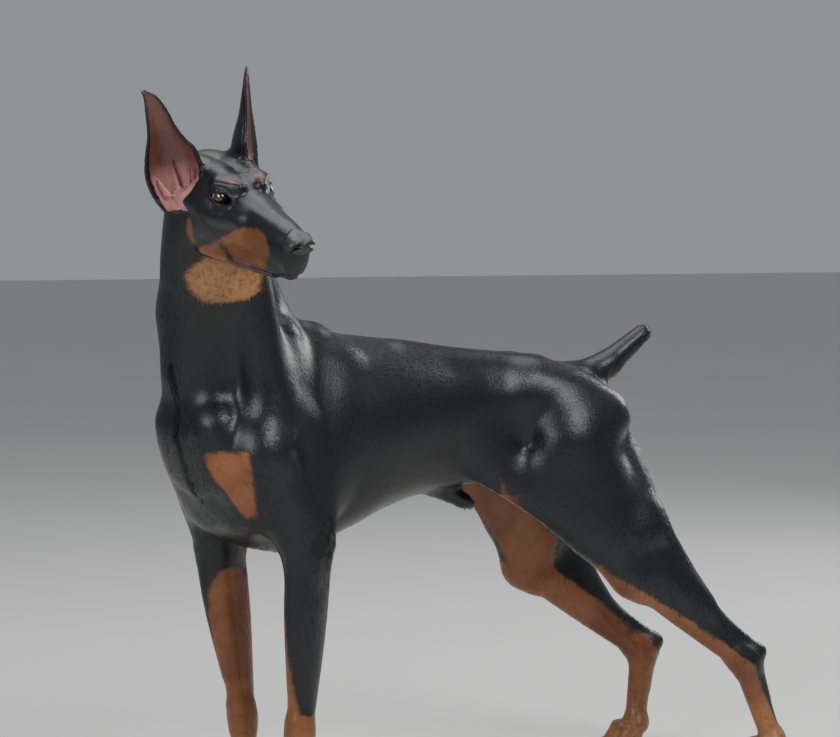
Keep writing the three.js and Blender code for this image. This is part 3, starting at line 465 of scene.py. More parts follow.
# Place along the ear, across it from -1 to 1, height over its inner face and thickness.
def earParts(p, side):
    base, axes = earFrame(side)
    q = (p - base) @ axes
    first, last = ear["rows"][0][0], ear["rows"][-1][0]
    s = np.clip(q[:, 0], first, last)
    shift, half, depth, thick = earRow(s).T
    y = q[:, 1] - shift
    share = np.clip(y / half, -1, 1)
    middle = -depth * (1 - np.abs(share) ** 2.6)
    slope = depth * 2.6 * np.abs(share) ** 1.6 / half
    over = (q[:, 2] - middle) / np.sqrt(1 + slope**2)
    return q[:, 0], s, share, np.abs(y) - half, over, q[:, 2], half, thick


def earField(p, side):
    along, s, share, past, over, height, half, thick = earParts(p, side)
    out = np.where(past > 0, height, over)
    d = np.sqrt(out**2 + np.maximum(past, 0) ** 2 + (along - s) ** 2) - thick / 2 - body["coatDepth"]
    bowl = np.maximum(thick / 2 + 0.4 - over, (np.abs(share) - 0.92) * half)
    bowl = np.maximum(np.maximum(bowl, height - 3), 2 - along)
    return d, bowl


# Small folds in the cup's floor: place, across and height of each end, and radius.
earFolds = [((2, -10, -6), (34, -21, -4), 4.6), ((2, 6, -14), (40, 4, -21), 4.2), ((0, 20, -4), (26, 28, -8), 4.4)]


def polyline(points):
    points = np.array(points, float)
    low, high = points.min(axis=0) - 12, points.max(axis=0) + 12

    def distance(p):
        best = np.full(len(p), 99.0)
        near = np.nonzero(np.all((p > low) & (p < high), axis=1))[0]
        q = p[near]
        found = np.full(len(q), 99.0)
        for a, b in zip(points[:-1], points[1:]):
            axis = b - a
            h = np.clip((q - a) @ axis / (axis @ axis), 0, 1)
            found = np.minimum(found, np.linalg.norm(q - a - h[:, None] * axis, axis=1))
        best[near] = found
        return best

    return distance


# Where a ray from inside the head leaves its flesh.
def onSurface(start, way):
    t = np.linspace(2, 130, 257)
    d = fieldAt(start + way * t[:, None], flesh)
    return start + way * t[np.argmax(d > 0)]


mouthHalf = [(4, 44, -72), (18, 44, -76), (40, 40, -80), (70, 34, -82), (100, 28, -79), (124, 20, -74), (138, 10, -66)]
mouthPoints = mouthHalf + [(143, 0, -62)] + [(x, -y, z) for x, y, z in reversed(mouthHalf)]
mouth = []
for x, y, z in mouthPoints:
    start = onHead(x - 6, 0, -44)
    mouth.append(onSurface(start, unit(onHead(x, y, z) - start)))
mouthDistance = polyline(mouth)
# Soft folds of the face, each a line on the right side that is mirrored: points, depth, width.
folds = [
    ([(10, 44, -58), (30, 40, -66), (52, 38, -66)], 1.4, 4.0),
    ([(22, 40, -8), (44, 36, -22), (66, 34, -44)], -1.2, 7.0),
    ([(30, 20, 10), (60, 10, 4), (100, 8, 0)], 0.8, 6.0),
    ([(-2, 52, -14), (16, 46, -16), (30, 36, -8)], 0.9, 4.0),
    ([(-14, 50, 14), (2, 42, 18), (14, 30, 19)], 1.0, 4.0),
    ([(96, 30, -40), (108, 28, -52), (112, 24, -66)], 0.8, 3.5),
    ([(84, 32, -38), (94, 31, -52), (98, 28, -68)], 0.7, 3.0),
    ([(-60, 56, -40), (-40, 56, -64), (-20, 50, -82)], 1.0, 7.0),
]
foldLines = []
for line, depth, width in folds:
    for side in (1, -1):
        points = []
        for x, y, z in line:
            start = onHead(x, 0, z - 14)
            points.append(onSurface(start, unit(onHead(x, y * side, z) - start)))
        foldLines.append((polyline(points), depth, width))
forehead = polyline([onSurface(onHead(x, 0, -20), alongHead(0, 0, 1)) for x in (-80, -50, -20, 5, 20)])

# Veins and tendons that stand out under the short coat: straight points, height and width.
reliefs = [
    ([(268, 118, 400), (300, 121, 340), (306, 116, 280), (302, 108, 220)], -1.6, 4.5),
    ([(-250, 140, 440), (-300, 136, 380), (-330, 128, 320)], -1.2, 6.0),
    ([(-352, 118, 300), (-420, 122, 246), (-480, 122, 196)], 1.6, 5.0),
    ([(-480, 122, 190), (-510, 124, 150), (-530, 122, 110)], -1.2, 4.0),
    ([(290, 120, 640), (322, 128, 590), (332, 130, 540)], -2.4, 10.0),
    ([(330, 132, 520), (300, 132, 450), (290, 128, 400)], 2.6, 7.0),
    ([(240, 118, 640), (240, 126, 560), (226, 124, 470)], 2.6, 9.0),
    ([(150, 122, 440), (110, 116, 424), (60, 108, 424)], 1.4, 8.0),
]
reliefLines = []
for line, depth, width in reliefs:
    for side in (1, -1):
        reliefLines.append((polyline([(x, y * side, z) for x, y, z in line]), depth, width))
ribs = [polyline([(x, 125, 620), (x + 14, 131, 540), (x + 30, 112, 440)]) for x in (110, 62, 14, -34)]
ribs += [polyline([(x, -125, 620), (x + 14, -131, 540), (x + 30, -112, 440)]) for x in (110, 62, 14, -34)]


def skinField(p):
    d = fieldAt(p, flesh)
    h = (p - vec(*head["at"])) @ headTurn
    for side in (1, -1):
        base, axes = earFrame(side)
        near = np.nonzero(np.linalg.norm(p - base - axes[:, 0] * 70, axis=1) < 125)[0]
        if len(near):
            sheet, bowl = earField(p[near], side)
            e = softMin(d[near], sheet, 9)
            e = softMax(e, -bowl, 4)
            for a, b, r in earFolds:
                fold = muscle(base + axes @ vec(*a), base + axes @ vec(*b), r, r * 0.6)
                e = softMin(e, fold.distance(p[near]), 5)
            d[near] = e
    for side in (1, -1):
        centre, axes = eyeFrame(side)
        near = np.nonzero(np.linalg.norm(p - centre, axis=1) < 34)[0]
        if not len(near):
            continue
        q = (p[near] - centre) @ axes
        r = np.linalg.norm(q, axis=1)
        shape = lidOpening(q, side)
        lid = r - (eye["radius"] + 2.4 + 1.3 * np.exp(-((shape - 2.2) / 2.2) ** 2))
        e = softMin(d[near], lid, 5)
        crease = np.exp(-((shape - 6.5) / 1.8) ** 2) * (q[:, 0] > 0)
        e = e + 1.2 * crease
        hollow = np.maximum(shape, eye["radius"] - 2.2 - r)
        hollow = np.maximum(hollow, -q[:, 0])
        d[near] = softMax(e, -hollow, 1.2)
    near = np.nonzero((np.abs(h[:, 0]) < 170) & (np.abs(h[:, 1]) < 90) & (np.abs(h[:, 2] + 30) < 110))[0]
    if len(near):
        q = p[near]
        away = mouthDistance(q)
        d[near] += 3.4 * np.exp(-((away / 2.3) ** 2)) - 0.9 * np.exp(-(((away - 5.5) / 3) ** 2))
        for line, depth, width in foldLines:
            d[near] += depth * np.exp(-((line(q) / width) ** 2))
        d[near] += 1.6 * np.exp(-((forehead(q) / 6) ** 2))
    near = np.nonzero(np.abs(d) < 12)[0]
    q = p[near]
    for line, depth, width in reliefLines:
        d[near] += depth * np.exp(-((line(q) / width) ** 2))
    for line in ribs:
        d[near] += 1.0 * np.exp(-((line(q) / 11) ** 2))
    d = np.maximum(d, -p[:, 2])
    return d + body["coatDepth"]


# Magnifiers: the net's own space is stretched about each, so that its cells are finer there.
def magnifier(centre, radius, scale, soft=0.25):
    width = radius * soft

    def shrink(q):
        away = q - centre
        r = np.linalg.norm(away, axis=-1, keepdims=True)
        x = (r - radius / scale) / width
        past = np.where(x > 30, x, np.log1p(np.exp(np.minimum(x, 30)))) * width
        return centre + away * ((scale * r + (1 - scale) * past) / np.maximum(r, 1e-6))

    return shrink


# The point that a magnifier brings to p.
def grown(shrink, centre, p):
    way = unit(p - centre) if np.linalg.norm(p - centre) > 1e-6 else vec(1, 0, 0)
    low, high = 0.0, 4000.0
    for _ in range(50):
        mid = (low + high) / 2
        if np.linalg.norm(shrink(centre + way * mid) - centre) < np.linalg.norm(p - centre):
            low = mid
        else:
            high = mid
    return centre + way * low


lenses = [(onHead(-24, 0, 34), 184, 0.36)]
lenses += [(eyeFrame(side)[0] + eyeFrame(side)[1][:, 0] * 9, 20, 0.55) for side in (1, -1)]
lenses += [(k + vec(16, 0, -18), 44, 0.62) for k in knuckles]
lenses += [(earFrame(side)[0] + earFrame(side)[1][:, 0] * 128, 44, 0.6) for side in (1, -1)]
shrinks = []
for centre, radius, scale in lenses:
    for shrink, middle in shrinks:
        centre = grown(shrink, middle, centre)
    shrinks.append((magnifier(centre, radius, scale), centre))


def fromNetSpace(q):
    for shrink, _ in reversed(shrinks):
        q = shrink(q)
    return q


def toNetSpace(p):
    for shrink, middle in shrinks:
        p = grown(shrink, middle, p)
    return p


# Points moved onto the surface, each by no more than reach.
def settled(field, p, rounds=2, reach=3.0):
    start = p.copy()
    e = 0.35
    for _ in range(rounds):
        d = field(p)
        slope = np.stack([(field(p + step) - field(p - step)) / (2 * e) for step in np.eye(3) * e], axis=1)
        p = p - slope * (d / np.maximum(0.25, (slope**2).sum(axis=1)))[:, None]
        moved = p - start
        length = np.linalg.norm(moved, axis=1)
        p = start + moved * np.minimum(1, reach / np.maximum(length, 1e-9))[:, None]
    return p


# A closed mesh of quads: one point for each cell that the surface crosses.
def netOver(field, low, high, cell, warp, block=10):
    blocks = np.ceil((high - low) / (cell * block)).astype(int)
    count = blocks * block
    depth = np.full(count, 60.0, dtype=np.float32)
    corner0 = np.stack(np.meshgrid(*[np.arange(n) for n in blocks], indexing="ij"), axis=-1).reshape(-1, 3)
    centres = warp(low + (corner0 + 0.5) * block * cell)
    reach = 0.9 * block * cell
    away = field(centres)
    depth[:] = np.repeat(np.repeat(np.repeat(np.sign(away).reshape(blocks), block, 0), block, 1), block, 2) * 60
    inner = np.stack(np.meshgrid(*[np.arange(block)] * 3, indexing="ij"), axis=-1).reshape(-1, 3)
    wanted = corner0[np.abs(away) < reach]
    for part in np.array_split(wanted, max(1, len(wanted) // 60)):
        node = (part[:, None, :] * block + inner[None]).reshape(-1, 3)
        depth[node[:, 0], node[:, 1], node[:, 2]] = field(warp(low + node * cell))
    for k in range(3):
        edge = [slice(None)] * 3
        edge[k] = [0, -1]
        depth[tuple(edge)] = 1
    inside = depth < 0
    corner = [(a, b, c) for a in (0, 1) for b in (0, 1) for c in (0, 1)]

    def shifted(values, a, b, c):
        return values[a : count[0] - 1 + a, b : count[1] - 1 + b, c : count[2] - 1 + c]

    filled = sum(shifted(inside, *c).astype(np.int8) for c in corner)
    crossed = np.nonzero((filled > 0) & (filled < 8))
    number = np.full(count, -1, dtype=np.int64)
    number[crossed] = np.arange(len(crossed[0]))
    values = [depth[crossed[0] + a, crossed[1] + b, crossed[2] + c] for a, b, c in corner]
    total = np.zeros((len(crossed[0]), 3))
    hits = np.zeros(len(crossed[0]))
    for m in range(8):
        for n in range(m + 1, 8):
            if sum(abs(x - y) for x, y in zip(corner[m], corner[n])) != 1:
                continue
            cut = (values[m] < 0) != (values[n] < 0)
            t = np.where(cut, values[m] / np.where(cut, values[m] - values[n], 1), 0)
            at = np.array(corner[m]) + t[:, None] * (np.array(corner[n]) - np.array(corner[m]))
            total += at * cut[:, None]
            hits += cut
    points = low + (np.stack(crossed, axis=1) + total / hits[:, None]) * cell
    quads = []
    for k in range(3):
        one, two = [(1, 2), (2, 0), (0, 1)][k]
        ahead = [slice(1, None)] * 3
        here = [slice(1, None)] * 3
        ahead[k] = slice(2, None)
        here[k] = slice(1, -1)
        a, b = inside[tuple(here)], inside[tuple(ahead)]
        where = np.nonzero(a != b)
        base = np.stack(where, axis=1) + 1
        back1, back2 = np.eye(3, dtype=int)[one], np.eye(3, dtype=int)[two]
        ring = [base, base - back1, base - back1 - back2, base - back2]
        ids = np.stack([number[r[:, 0], r[:, 1], r[:, 2]] for r in ring], axis=1)
        flip = ~a[where]
        ids[flip] = ids[flip][:, ::-1]
        quads.append(ids)
    return points, np.concatenate(quads)


# Evens out the net over its surface without changing the form.
def relaxed(points, quads, field, rounds):
    edges = np.concatenate([quads[:, [0, 1]], quads[:, [1, 2]], quads[:, [2, 3]], quads[:, [3, 0]]])
    for _ in range(rounds):
        total = np.zeros_like(points)
        share = np.zeros(len(points))
        for a, b in ((0, 1), (1, 0)):
            np.add.at(total, edges[:, a], points[edges[:, b]])
            np.add.at(share, edges[:, a], 1)
        middle = total / np.maximum(share, 1)[:, None]
        points = points + (middle - points) * 0.5
        points = settled(field, points, rounds=1, reach=2.0)
    return points


def meshObject(name, points, faces):
    mesh = bpy.data.meshes.new(name)
    mesh.vertices.add(len(points))
    mesh.vertices.foreach_set("co", np.asarray(points, np.float32).ravel())
    sides = faces.shape[1]
    mesh.loops.add(faces.size)
    mesh.loops.foreach_set("vertex_index", faces.ravel().astype(np.int32))
    mesh.polygons.add(len(faces))
    mesh.polygons.foreach_set("loop_start", np.arange(0, faces.size, sides, dtype=np.int32))
    mesh.polygons.foreach_set("loop_total", np.full(len(faces), sides, dtype=np.int32))
    mesh.update(calc_edges=True)
    mesh.validate()
    mesh.polygons.foreach_set("use_smooth", np.ones(len(mesh.polygons), dtype=bool))
    made = bpy.data.objects.new(name, mesh)
    bpy.context.scene.collection.objects.link(made)
    return made


low, high = vec(-1040, -480, -480), vec(980, 820, 1580)
points, quads = netOver(skinField, low, high, body["cell"], fromNetSpace)
points = fromNetSpace(points)
print("net", len(points), len(quads))
points = settled(skinField, points, rounds=2, reach=3.0)
points = relaxed(points, quads, skinField, 2)
skin = meshObject("skin", placed(points), quads)
print("skin made")

# Markings, in millimetres inside each rust patch's edge, on the straight dog.
marks = {
    "muzzleTop": [(-40, -84), (-20, -74), (0, -62), (20, -48), (40, -34), (60, -24), (85, -18), (105, -20), (118, -34)],
    "foreInner": [(58, -60), (118, -60), (138, -40), (168, -14), (215, -8), (260, -3), (310, 4), (340, 20), (352, 40)],
    "hindFront": [(0, -40), (58, -14), (100, -8), (160, -2), (200, 3), (250, 10), (300, 22), (330, 40)],
}


# Where a leg's middle is at a height, from joints given from the top down.
def boneAt(rows, z):
    rows = sorted(rows, key=lambda row: row[2])
    heights = [row[2] for row in rows]
    return np.interp(z, heights, [row[0] for row in rows]), np.interp(z, heights, [row[1] for row in rows])


def oval(q, centre, radii):
    away = (q - vec(*centre)) / vec(*radii)
    return (1 - np.linalg.norm(away, axis=1)) * min(radii)


def tanDepth(p):
    h = (p - vec(*head["at"])) @ headTurn
    x, y, z = h.T
    out = np.full(len(p), -60.0)
    sideways = np.abs(y)
    rise = np.interp(x, *zip(*marks["muzzleTop"]))
    lip = mouthDistance(p)
    muzzle = np.minimum(rise - z, np.minimum(x + 40, 118 - x))
    muzzle = np.minimum(muzzle, sideways - 9)
    muzzle = np.minimum(muzzle, np.where(x > 78, lip - 5.5, lip - 2.6 + np.clip(70 - x, 0, 6)))
    muzzle = np.where((z > -92) & (z < 20), muzzle, -60)
    out = np.maximum(out, muzzle)
    fold = np.stack([x, sideways, z], axis=1)
    out = np.maximum(out, oval(fold, (4, 21, 26), (9, 7.5, 8)))
    out = np.maximum(out, oval(fold, (-52, 57, -62), (8, 16, 17)))
    jaw = np.minimum(np.minimum(96 - x, x + 60), np.minimum(-86 - z, 34 - sideways))
    out = np.maximum(out, np.where(z > -125, jaw, -60))
    out = np.maximum(out, oval(fold, (-50, 10, -140), (46, 44, 34)))
    u, v, w = p.T
    half = 27 - np.maximum(0, 505 - w) * 0.3
    chest = np.minimum(half - np.abs(np.abs(v) - 80), np.minimum(532 - w, w - 436))
    out = np.maximum(out, np.where(u > 340, chest, -60))
    for side, fore, hind in ((1, leftFore, leftHind), (-1, rightFore, rightHind)):
        joints = [mirrored(fore[name], side) for name in ("elbow", "wrist", "knuckle")]
        bx, by = boneAt(joints, w)
        inward = (by - v) * side
        lift = 20 if side > 0 else 0
        inner = np.interp(w + np.minimum(lift, np.maximum(0, w - 130)), *zip(*marks["foreInner"]))
        near = (u > 180) & (w < 352) & (v * side > 20)
        out = np.maximum(out, np.where(near, np.minimum(inward * 1.0 - inner, 352 - w), -60))
        joints = [mirrored(hind[name], side) for name in ("knee", "hock", "knuckle")]
        joints.insert(0, mirrored(joint["hip"], side))
        bx, by = boneAt(joints, w)
        inward = (by - v) * side
        front = (u - bx) * np.where(w > 170, 0.72, 1.0)
        inner = np.minimum(np.minimum(inward - 12, front + 26), np.minimum(486 - w, -100 - u))
        strip = front - np.interp(w, *zip(*marks["hindFront"]))
        near = (u < -40) & (v * side > 4)
        out = np.maximum(out, np.where(near & (w < 486), np.maximum(inner, np.minimum(strip, 330 - w)), -60))
    rear = oval(p, (-318, 0, 588), (26, 30, 26))
    return np.maximum(out, rear)


# 1 where the rust is golden: the throat, and in part low on the legs; 0 where it is mahogany.
def goldShare(p):
    h = (p - vec(*head["at"])) @ headTurn
    throat = np.exp(-(((h - vec(-50, 0, -140)) / vec(60, 60, 46)) ** 2).sum(axis=1))
    lower = np.clip((150 - p[:, 2]) / 90, 0, 1)
    return np.clip(throat + 0.35 * lower, 0, 1)


# Millimetres into the bare inner face of an ear, and how near its base it is.
def earInside(p):
    deep = np.full(len(p), -20.0)
    base = np.zeros(len(p))
    for side in (1, -1):
        along, s, share, past, over, height, half, thick = earParts(p, side)
        here = (past < 6) & (along > -24) & (along < 162) & (height < 14) & (over > -12)
        inner = np.minimum(over, (0.9 - np.abs(share)) * half)
        inner = np.minimum(inner, 6)
        deep = np.where(here, np.maximum(deep, inner), deep)
        base = np.where(here, np.clip(1 - along / 70, 0, 1), base)
    return deep, base


def lipShare(p):
    h = (p - vec(*head["at"])) @ headTurn
    away = mouthDistance(p)
    edge = np.exp(-((away / 5) ** 2))
    front, below = h[:, 0] - 104, -44 - h[:, 2]
    chin = np.clip(front / 10, 0, 1) * np.clip(below / 10, 0, 1) * (np.abs(h[:, 1]) < 40) * (below < 76)
    return np.clip(edge + chin, 0, 1)


def addValues(thing, name, values):
    made = thing.data.attributes.new(name, "FLOAT", "POINT")
    made.data.foreach_set("value", np.asarray(values, np.float32))


def addMarks(thing, p):
    deep, base = earInside(p)
    addValues(thing, "tanDepth", tanDepth(p))
    addValues(thing, "goldShare", goldShare(p))
    addValues(thing, "earDepth", deep)
    addValues(thing, "earBase", base)
    addValues(thing, "lipShare", lipShare(p))


addMarks(skin, points)
print("markings made")


# A shader socket that takes part in Python expressions.
class Wire:
    def __init__(self, nodes, socket):
        self.nodes = nodes
        self.socket = socket

    def maths(self, operation, *others):
        node = self.nodes.new("ShaderNodeMath")
        node.operation = operation
        for place, value in enumerate((self, *others)):
            plug(self.nodes, value, node.inputs[place])
        return Wire(self.nodes, node.outputs[0])

    def __add__(self, other):
        return self.maths("ADD", other)

    def __mul__(self, other):
        return self.maths("MULTIPLY", other)

    def __sub__(self, other):
        return self.maths("SUBTRACT", other)

    def __rsub__(self, other):
        return (self * -1) + other

    def __truediv__(self, other):
        return self.maths("DIVIDE", other)

    __radd__ = __add__
    __rmul__ = __mul__


def plug(nodes, value, socket):
    if isinstance(value, Wire):
        nodes.id_data.links.new(value.socket, socket)
    elif isinstance(value, (tuple, list)) and len(value) == 3 and socket.type == "RGBA":
        socket.default_value = (*value, 1)
    else:
        socket.default_value = value


# A material under construction: node() adds a node and gives its first output.
class Look:
    def __init__(self, name, roughness=0.5, **sockets):
        self.material = bpy.data.materials.new(name)
        self.material.use_nodes = True
        self.nodes = self.material.node_tree.nodes
        self.shader = self.nodes["Principled BSDF"]
        self.shader.inputs["Roughness"].default_value = roughness
        for key, value in sockets.items():
            self.shader.inputs[key.replace("_", " ")].default_value = value

    def node(self, kind, settings=None, output=0, **sockets):
        made = self.nodes.new(kind)
        for key, value in (settings or {}).items():
            setattr(made, key, value)
        for key, value in sockets.items():
            plug(self.nodes, value, made.inputs[key.replace("_", " ")])
        return Wire(self.nodes, made.outputs[output])

    def value(self, name):
        return self.node("ShaderNodeAttribute", {"attribute_name": name}, output="Fac")

    def noise(self, scale, detail=3.0, stretch=(1, 1, 1), output="Fac"):
        place = self.node("ShaderNodeTexCoord", output="Object")
        place = self.node("ShaderNodeVectorMath", {"operation": "MULTIPLY"}, Vector=place)
        place.socket.node.inputs[1].default_value = stretch
        return self.node("ShaderNodeTexNoise", output=output, Vector=place, Scale=scale, Detail=detail)

    def ramp(self, value, low, high):
        return self.node(
            "ShaderNodeMapRange",
            {"interpolation_type": "SMOOTHSTEP"},
            Value=value,
            From_Min=low,
            From_Max=high,
        )

    def mix(self, share, one, two):
        made = self.nodes.new("ShaderNodeMix")
        made.data_type = "RGBA"
        plug(self.nodes, share, made.inputs[0])
        plug(self.nodes, one, made.inputs[6])
        plug(self.nodes, two, made.inputs[7])
        return Wire(self.nodes, made.outputs[2])

    def bump(self, height, strength=0.3, distance=0.001, under=None):
        made = self.nodes.new("ShaderNodeBump")
        made.inputs["Strength"].default_value = strength
        made.inputs["Distance"].default_value = distance
        plug(self.nodes, height, made.inputs["Height"])
        if under is not None:
            plug(self.nodes, under, made.inputs["Normal"])
        return Wire(self.nodes, made.outputs[0])

    def out(self, name, value):
        plug(self.nodes, value, self.shader.inputs[name])


coat = {
    "black": (0.0042, 0.0046, 0.006),
    "blackLight": (0.0078, 0.0082, 0.0102),
    "mahogany": (0.118, 0.036, 0.011),
    "rust": (0.205, 0.076, 0.026),
    "gold": (0.33, 0.175, 0.066),
    "earSkin": (0.115, 0.045, 0.034),
    "earPink": (0.36, 0.165, 0.155),
    "lips": (0.006, 0.006, 0.0075),
    "edge": 4.0,
}


def coatLook(name, roughness, hairScale):
    look = Look(name, roughness=roughness, Specular_IOR_Level=0.4)
    fleck = look.noise(hairScale, 2.0, (0.35, 1.0, 0.5))
    broad = look.noise(14.0, 3.0)
    fine = look.noise(160.0, 2.0)
    black = look.mix(look.ramp(fleck, 0.35, 0.75), coat["black"], coat["blackLight"])
    rust = look.mix(look.ramp(broad, 0.35, 0.68), coat["mahogany"], coat["rust"])
    rust = look.mix(look.value("goldShare") * look.ramp(fine, 0.2, 0.6), rust, coat["gold"])
    rust = look.mix(look.ramp(fleck, 0.5, 0.8) * 0.45, rust, coat["mahogany"])
    depth = look.value("tanDepth") + (look.noise(60.0, 3.0, (0.5, 1, 0.6)) - 0.5) * 14 + (fleck - 0.5) * 8
    colour = look.mix(look.ramp(depth, -coat["edge"], coat["edge"]), black, rust)
    inner = look.mix(look.ramp(look.value("earBase") + (broad - 0.5) * 0.8, 0.35, 0.9), coat["earSkin"], coat["earPink"])
    colour = look.mix(look.ramp(look.value("earDepth") + (fine - 0.5) * 3, -0.6, 1.6), colour, inner)
    colour = look.mix(look.value("lipShare"), colour, coat["lips"])
    look.out("Base Color", colour)
    smooth = look.ramp(look.value("lipShare"), 0.3, 0.9)
    look.out("Roughness", (broad - 0.5) * 0.12 + roughness - smooth * 0.1)
    hair = look.noise(hairScale, 4.0, (0.22, 1.0, 0.3))
    cross = look.noise(hairScale * 0.6, 3.0, (1.0, 1.0, 0.25))
    ripple = look.bump(look.noise(26.0, 3.0), 0.25, 0.0025)
    look.out("Normal", look.bump(hair + cross, 0.5, 0.0006, under=ripple))
    return look.material


skin.data.materials.append(coatLook("skinCoat", 0.36, 620.0))
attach(skin, "root")
fleshNodes = ["torso", "neck", "head", "tail", "ear_left", "ear_right"]
fleshNodes += [f"{pair}_{side}" for pair in ("foreleg", "hindleg", "forepaw", "hindpaw") for side in ("left", "right")]
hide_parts(*fleshNodes)


def finishPiece(thing, slot, *nodes):
    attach(thing, "root")
    if nodes:
        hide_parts(*nodes)


# Eyes: a globe with a clear bulge, a dark brown iris and a round pupil.
eyeLookAt = {"iris": 0.98, "pupil": 0.36, "rings": 40, "around": 56, "bulge": 1.5}


def makeEye(name, side):
    centre, axes = eyeFrame(side)
    rings = np.linspace(0, math.pi, eyeLookAt["rings"])
    turns = np.linspace(0, 2 * math.pi, eyeLookAt["around"], endpoint=False)
    a, b = np.meshgrid(rings[1:-1], turns, indexing="ij")
    a, b = np.append(a.ravel(), [0, math.pi]), np.append(b.ravel(), [0, 0])
    r = eye["radius"] - 0.3 + eyeLookAt["bulge"] * np.exp(-((a / 0.42) ** 2))
    p = np.stack([np.cos(a), np.sin(a) * np.cos(b), np.sin(a) * np.sin(b)], axis=1) * r[:, None]
    n, rows = eyeLookAt["around"], eyeLookAt["rings"] - 2
    faces = []
    for i in range(rows - 1):
        for k in range(n):
            faces.append((i * n + k, (i + 1) * n + k, (i + 1) * n + (k + 1) % n, i * n + (k + 1) % n))
    mesh = bpy.data.meshes.new(name)
    top, bottom = rows * n, rows * n + 1
    faces += [(top, k, (k + 1) % n) for k in range(n)]
    faces += [(bottom, (rows - 1) * n + (k + 1) % n, (rows - 1) * n + k) for k in range(n)]
    mesh.from_pydata(placed(centre + p @ axes.T).tolist(), [], faces)
    mesh.polygons.foreach_set("use_smooth", np.ones(len(faces), dtype=bool))
    made = bpy.data.objects.new(name, mesh)
    bpy.context.scene.collection.objects.link(made)
    addValues(made, "gaze", a)
    mesh.materials.append(eyeMaterial)
    finishPiece(made, "eye", "eye_left" if side > 0 else "eye_right")


eyeLook = Look("eyeGlass", roughness=0.06, Coat_Weight=1.0, Coat_Roughness=0.02)
gaze = eyeLook.value("gaze")
fibre = eyeLook.noise(900.0, 3.0)
iris = eyeLook.mix(eyeLook.ramp(fibre, 0.3, 0.7), (0.018, 0.0075, 0.003), (0.05, 0.02, 0.007))
white = eyeLook.mix(eyeLook.ramp(eyeLook.noise(300.0, 3.0), 0.4, 0.7), (0.16, 0.12, 0.1), (0.3, 0.25, 0.23))
ball = eyeLook.mix(eyeLook.ramp(gaze, eyeLookAt["iris"], eyeLookAt["iris"] + 0.09), iris, white)
ball = eyeLook.mix(eyeLook.ramp(gaze, eyeLookAt["pupil"] - 0.03, eyeLookAt["pupil"] + 0.03), (0.001, 0.001, 0.001), ball)
eyeLook.out("Base Color", ball)
eyeMaterial = eyeLook.material
makeEye("eyeLeft", 1)
makeEye("eyeRight", -1)

# Nose: a grained pad with two comma-shaped nostrils and a groove down its middle.
nose = {"cell": 1.25, "grain": 0.55}
noseForms = [
    muscle(onHead(148, 9, -20), onHead(154, 9, -21), 13, 12, soft=6),
    muscle(onHead(148, -9, -20), onHead(154, -9, -21), 13, 12, soft=6),
    muscle(onHead(140, 0, -16), onHead(154, 0, -24), 13, 12, soft=6),
]
nostrils = []
for side in (1, -1):
    comma = [(166, 7, -19), (162, 12, -20.5), (158, 17, -25), (152, 20.5, -28), (146, 22.5, -29)]
    nostrils.append(polyline([onHead(x, y * side, z) for x, y, z in comma]))
groove = polyline([onHead(x, 0, z) for x, z in ((168, -12), (169, -22), (166, -32), (158, -42))])


def noseField(p):
    d = fieldAt(p, noseForms)
    for line in nostrils:
        away = line(p)
        d = softMax(d, 3.3 - away, 1.6)
        d -= 0.9 * np.exp(-(((away - 6.0) / 2.2) ** 2))
    return d + 1.2 * np.exp(-((groove(p) / 1.8) ** 2)) + 0.3


middle = onHead(150, 0, -22)
nosePoints, noseQuads = netOver(noseField, middle - 36, middle + 36, nose["cell"], lambda q: q)
nosePoints = relaxed(settled(noseField, nosePoints, 2, 1.0), noseQuads, noseField, 1)
nosePad = meshObject("nosePad", placed(nosePoints), noseQuads)
noseLook = Look("noseSkin", roughness=0.4, Coat_Weight=0.25, Coat_Roughness=0.25)
pebble = noseLook.node("ShaderNodeTexVoronoi", output="Distance", Vector=noseLook.node("ShaderNodeTexCoord", output="Object"), Scale=900.0)
# The pad is painted darker in the grooves between its grains: painted shade in the recesses.
noseLook.out("Base Color", noseLook.mix(noseLook.ramp(pebble, 0.1, 0.6), (0.011, 0.011, 0.013), (0.004, 0.004, 0.005)))
noseLook.out("Normal", noseLook.bump(pebble * -1, nose["grain"], 0.0005))
nosePad.data.materials.append(noseLook.material)
finishPiece(nosePad, "nose", "nose")
print("eyes and nose made")


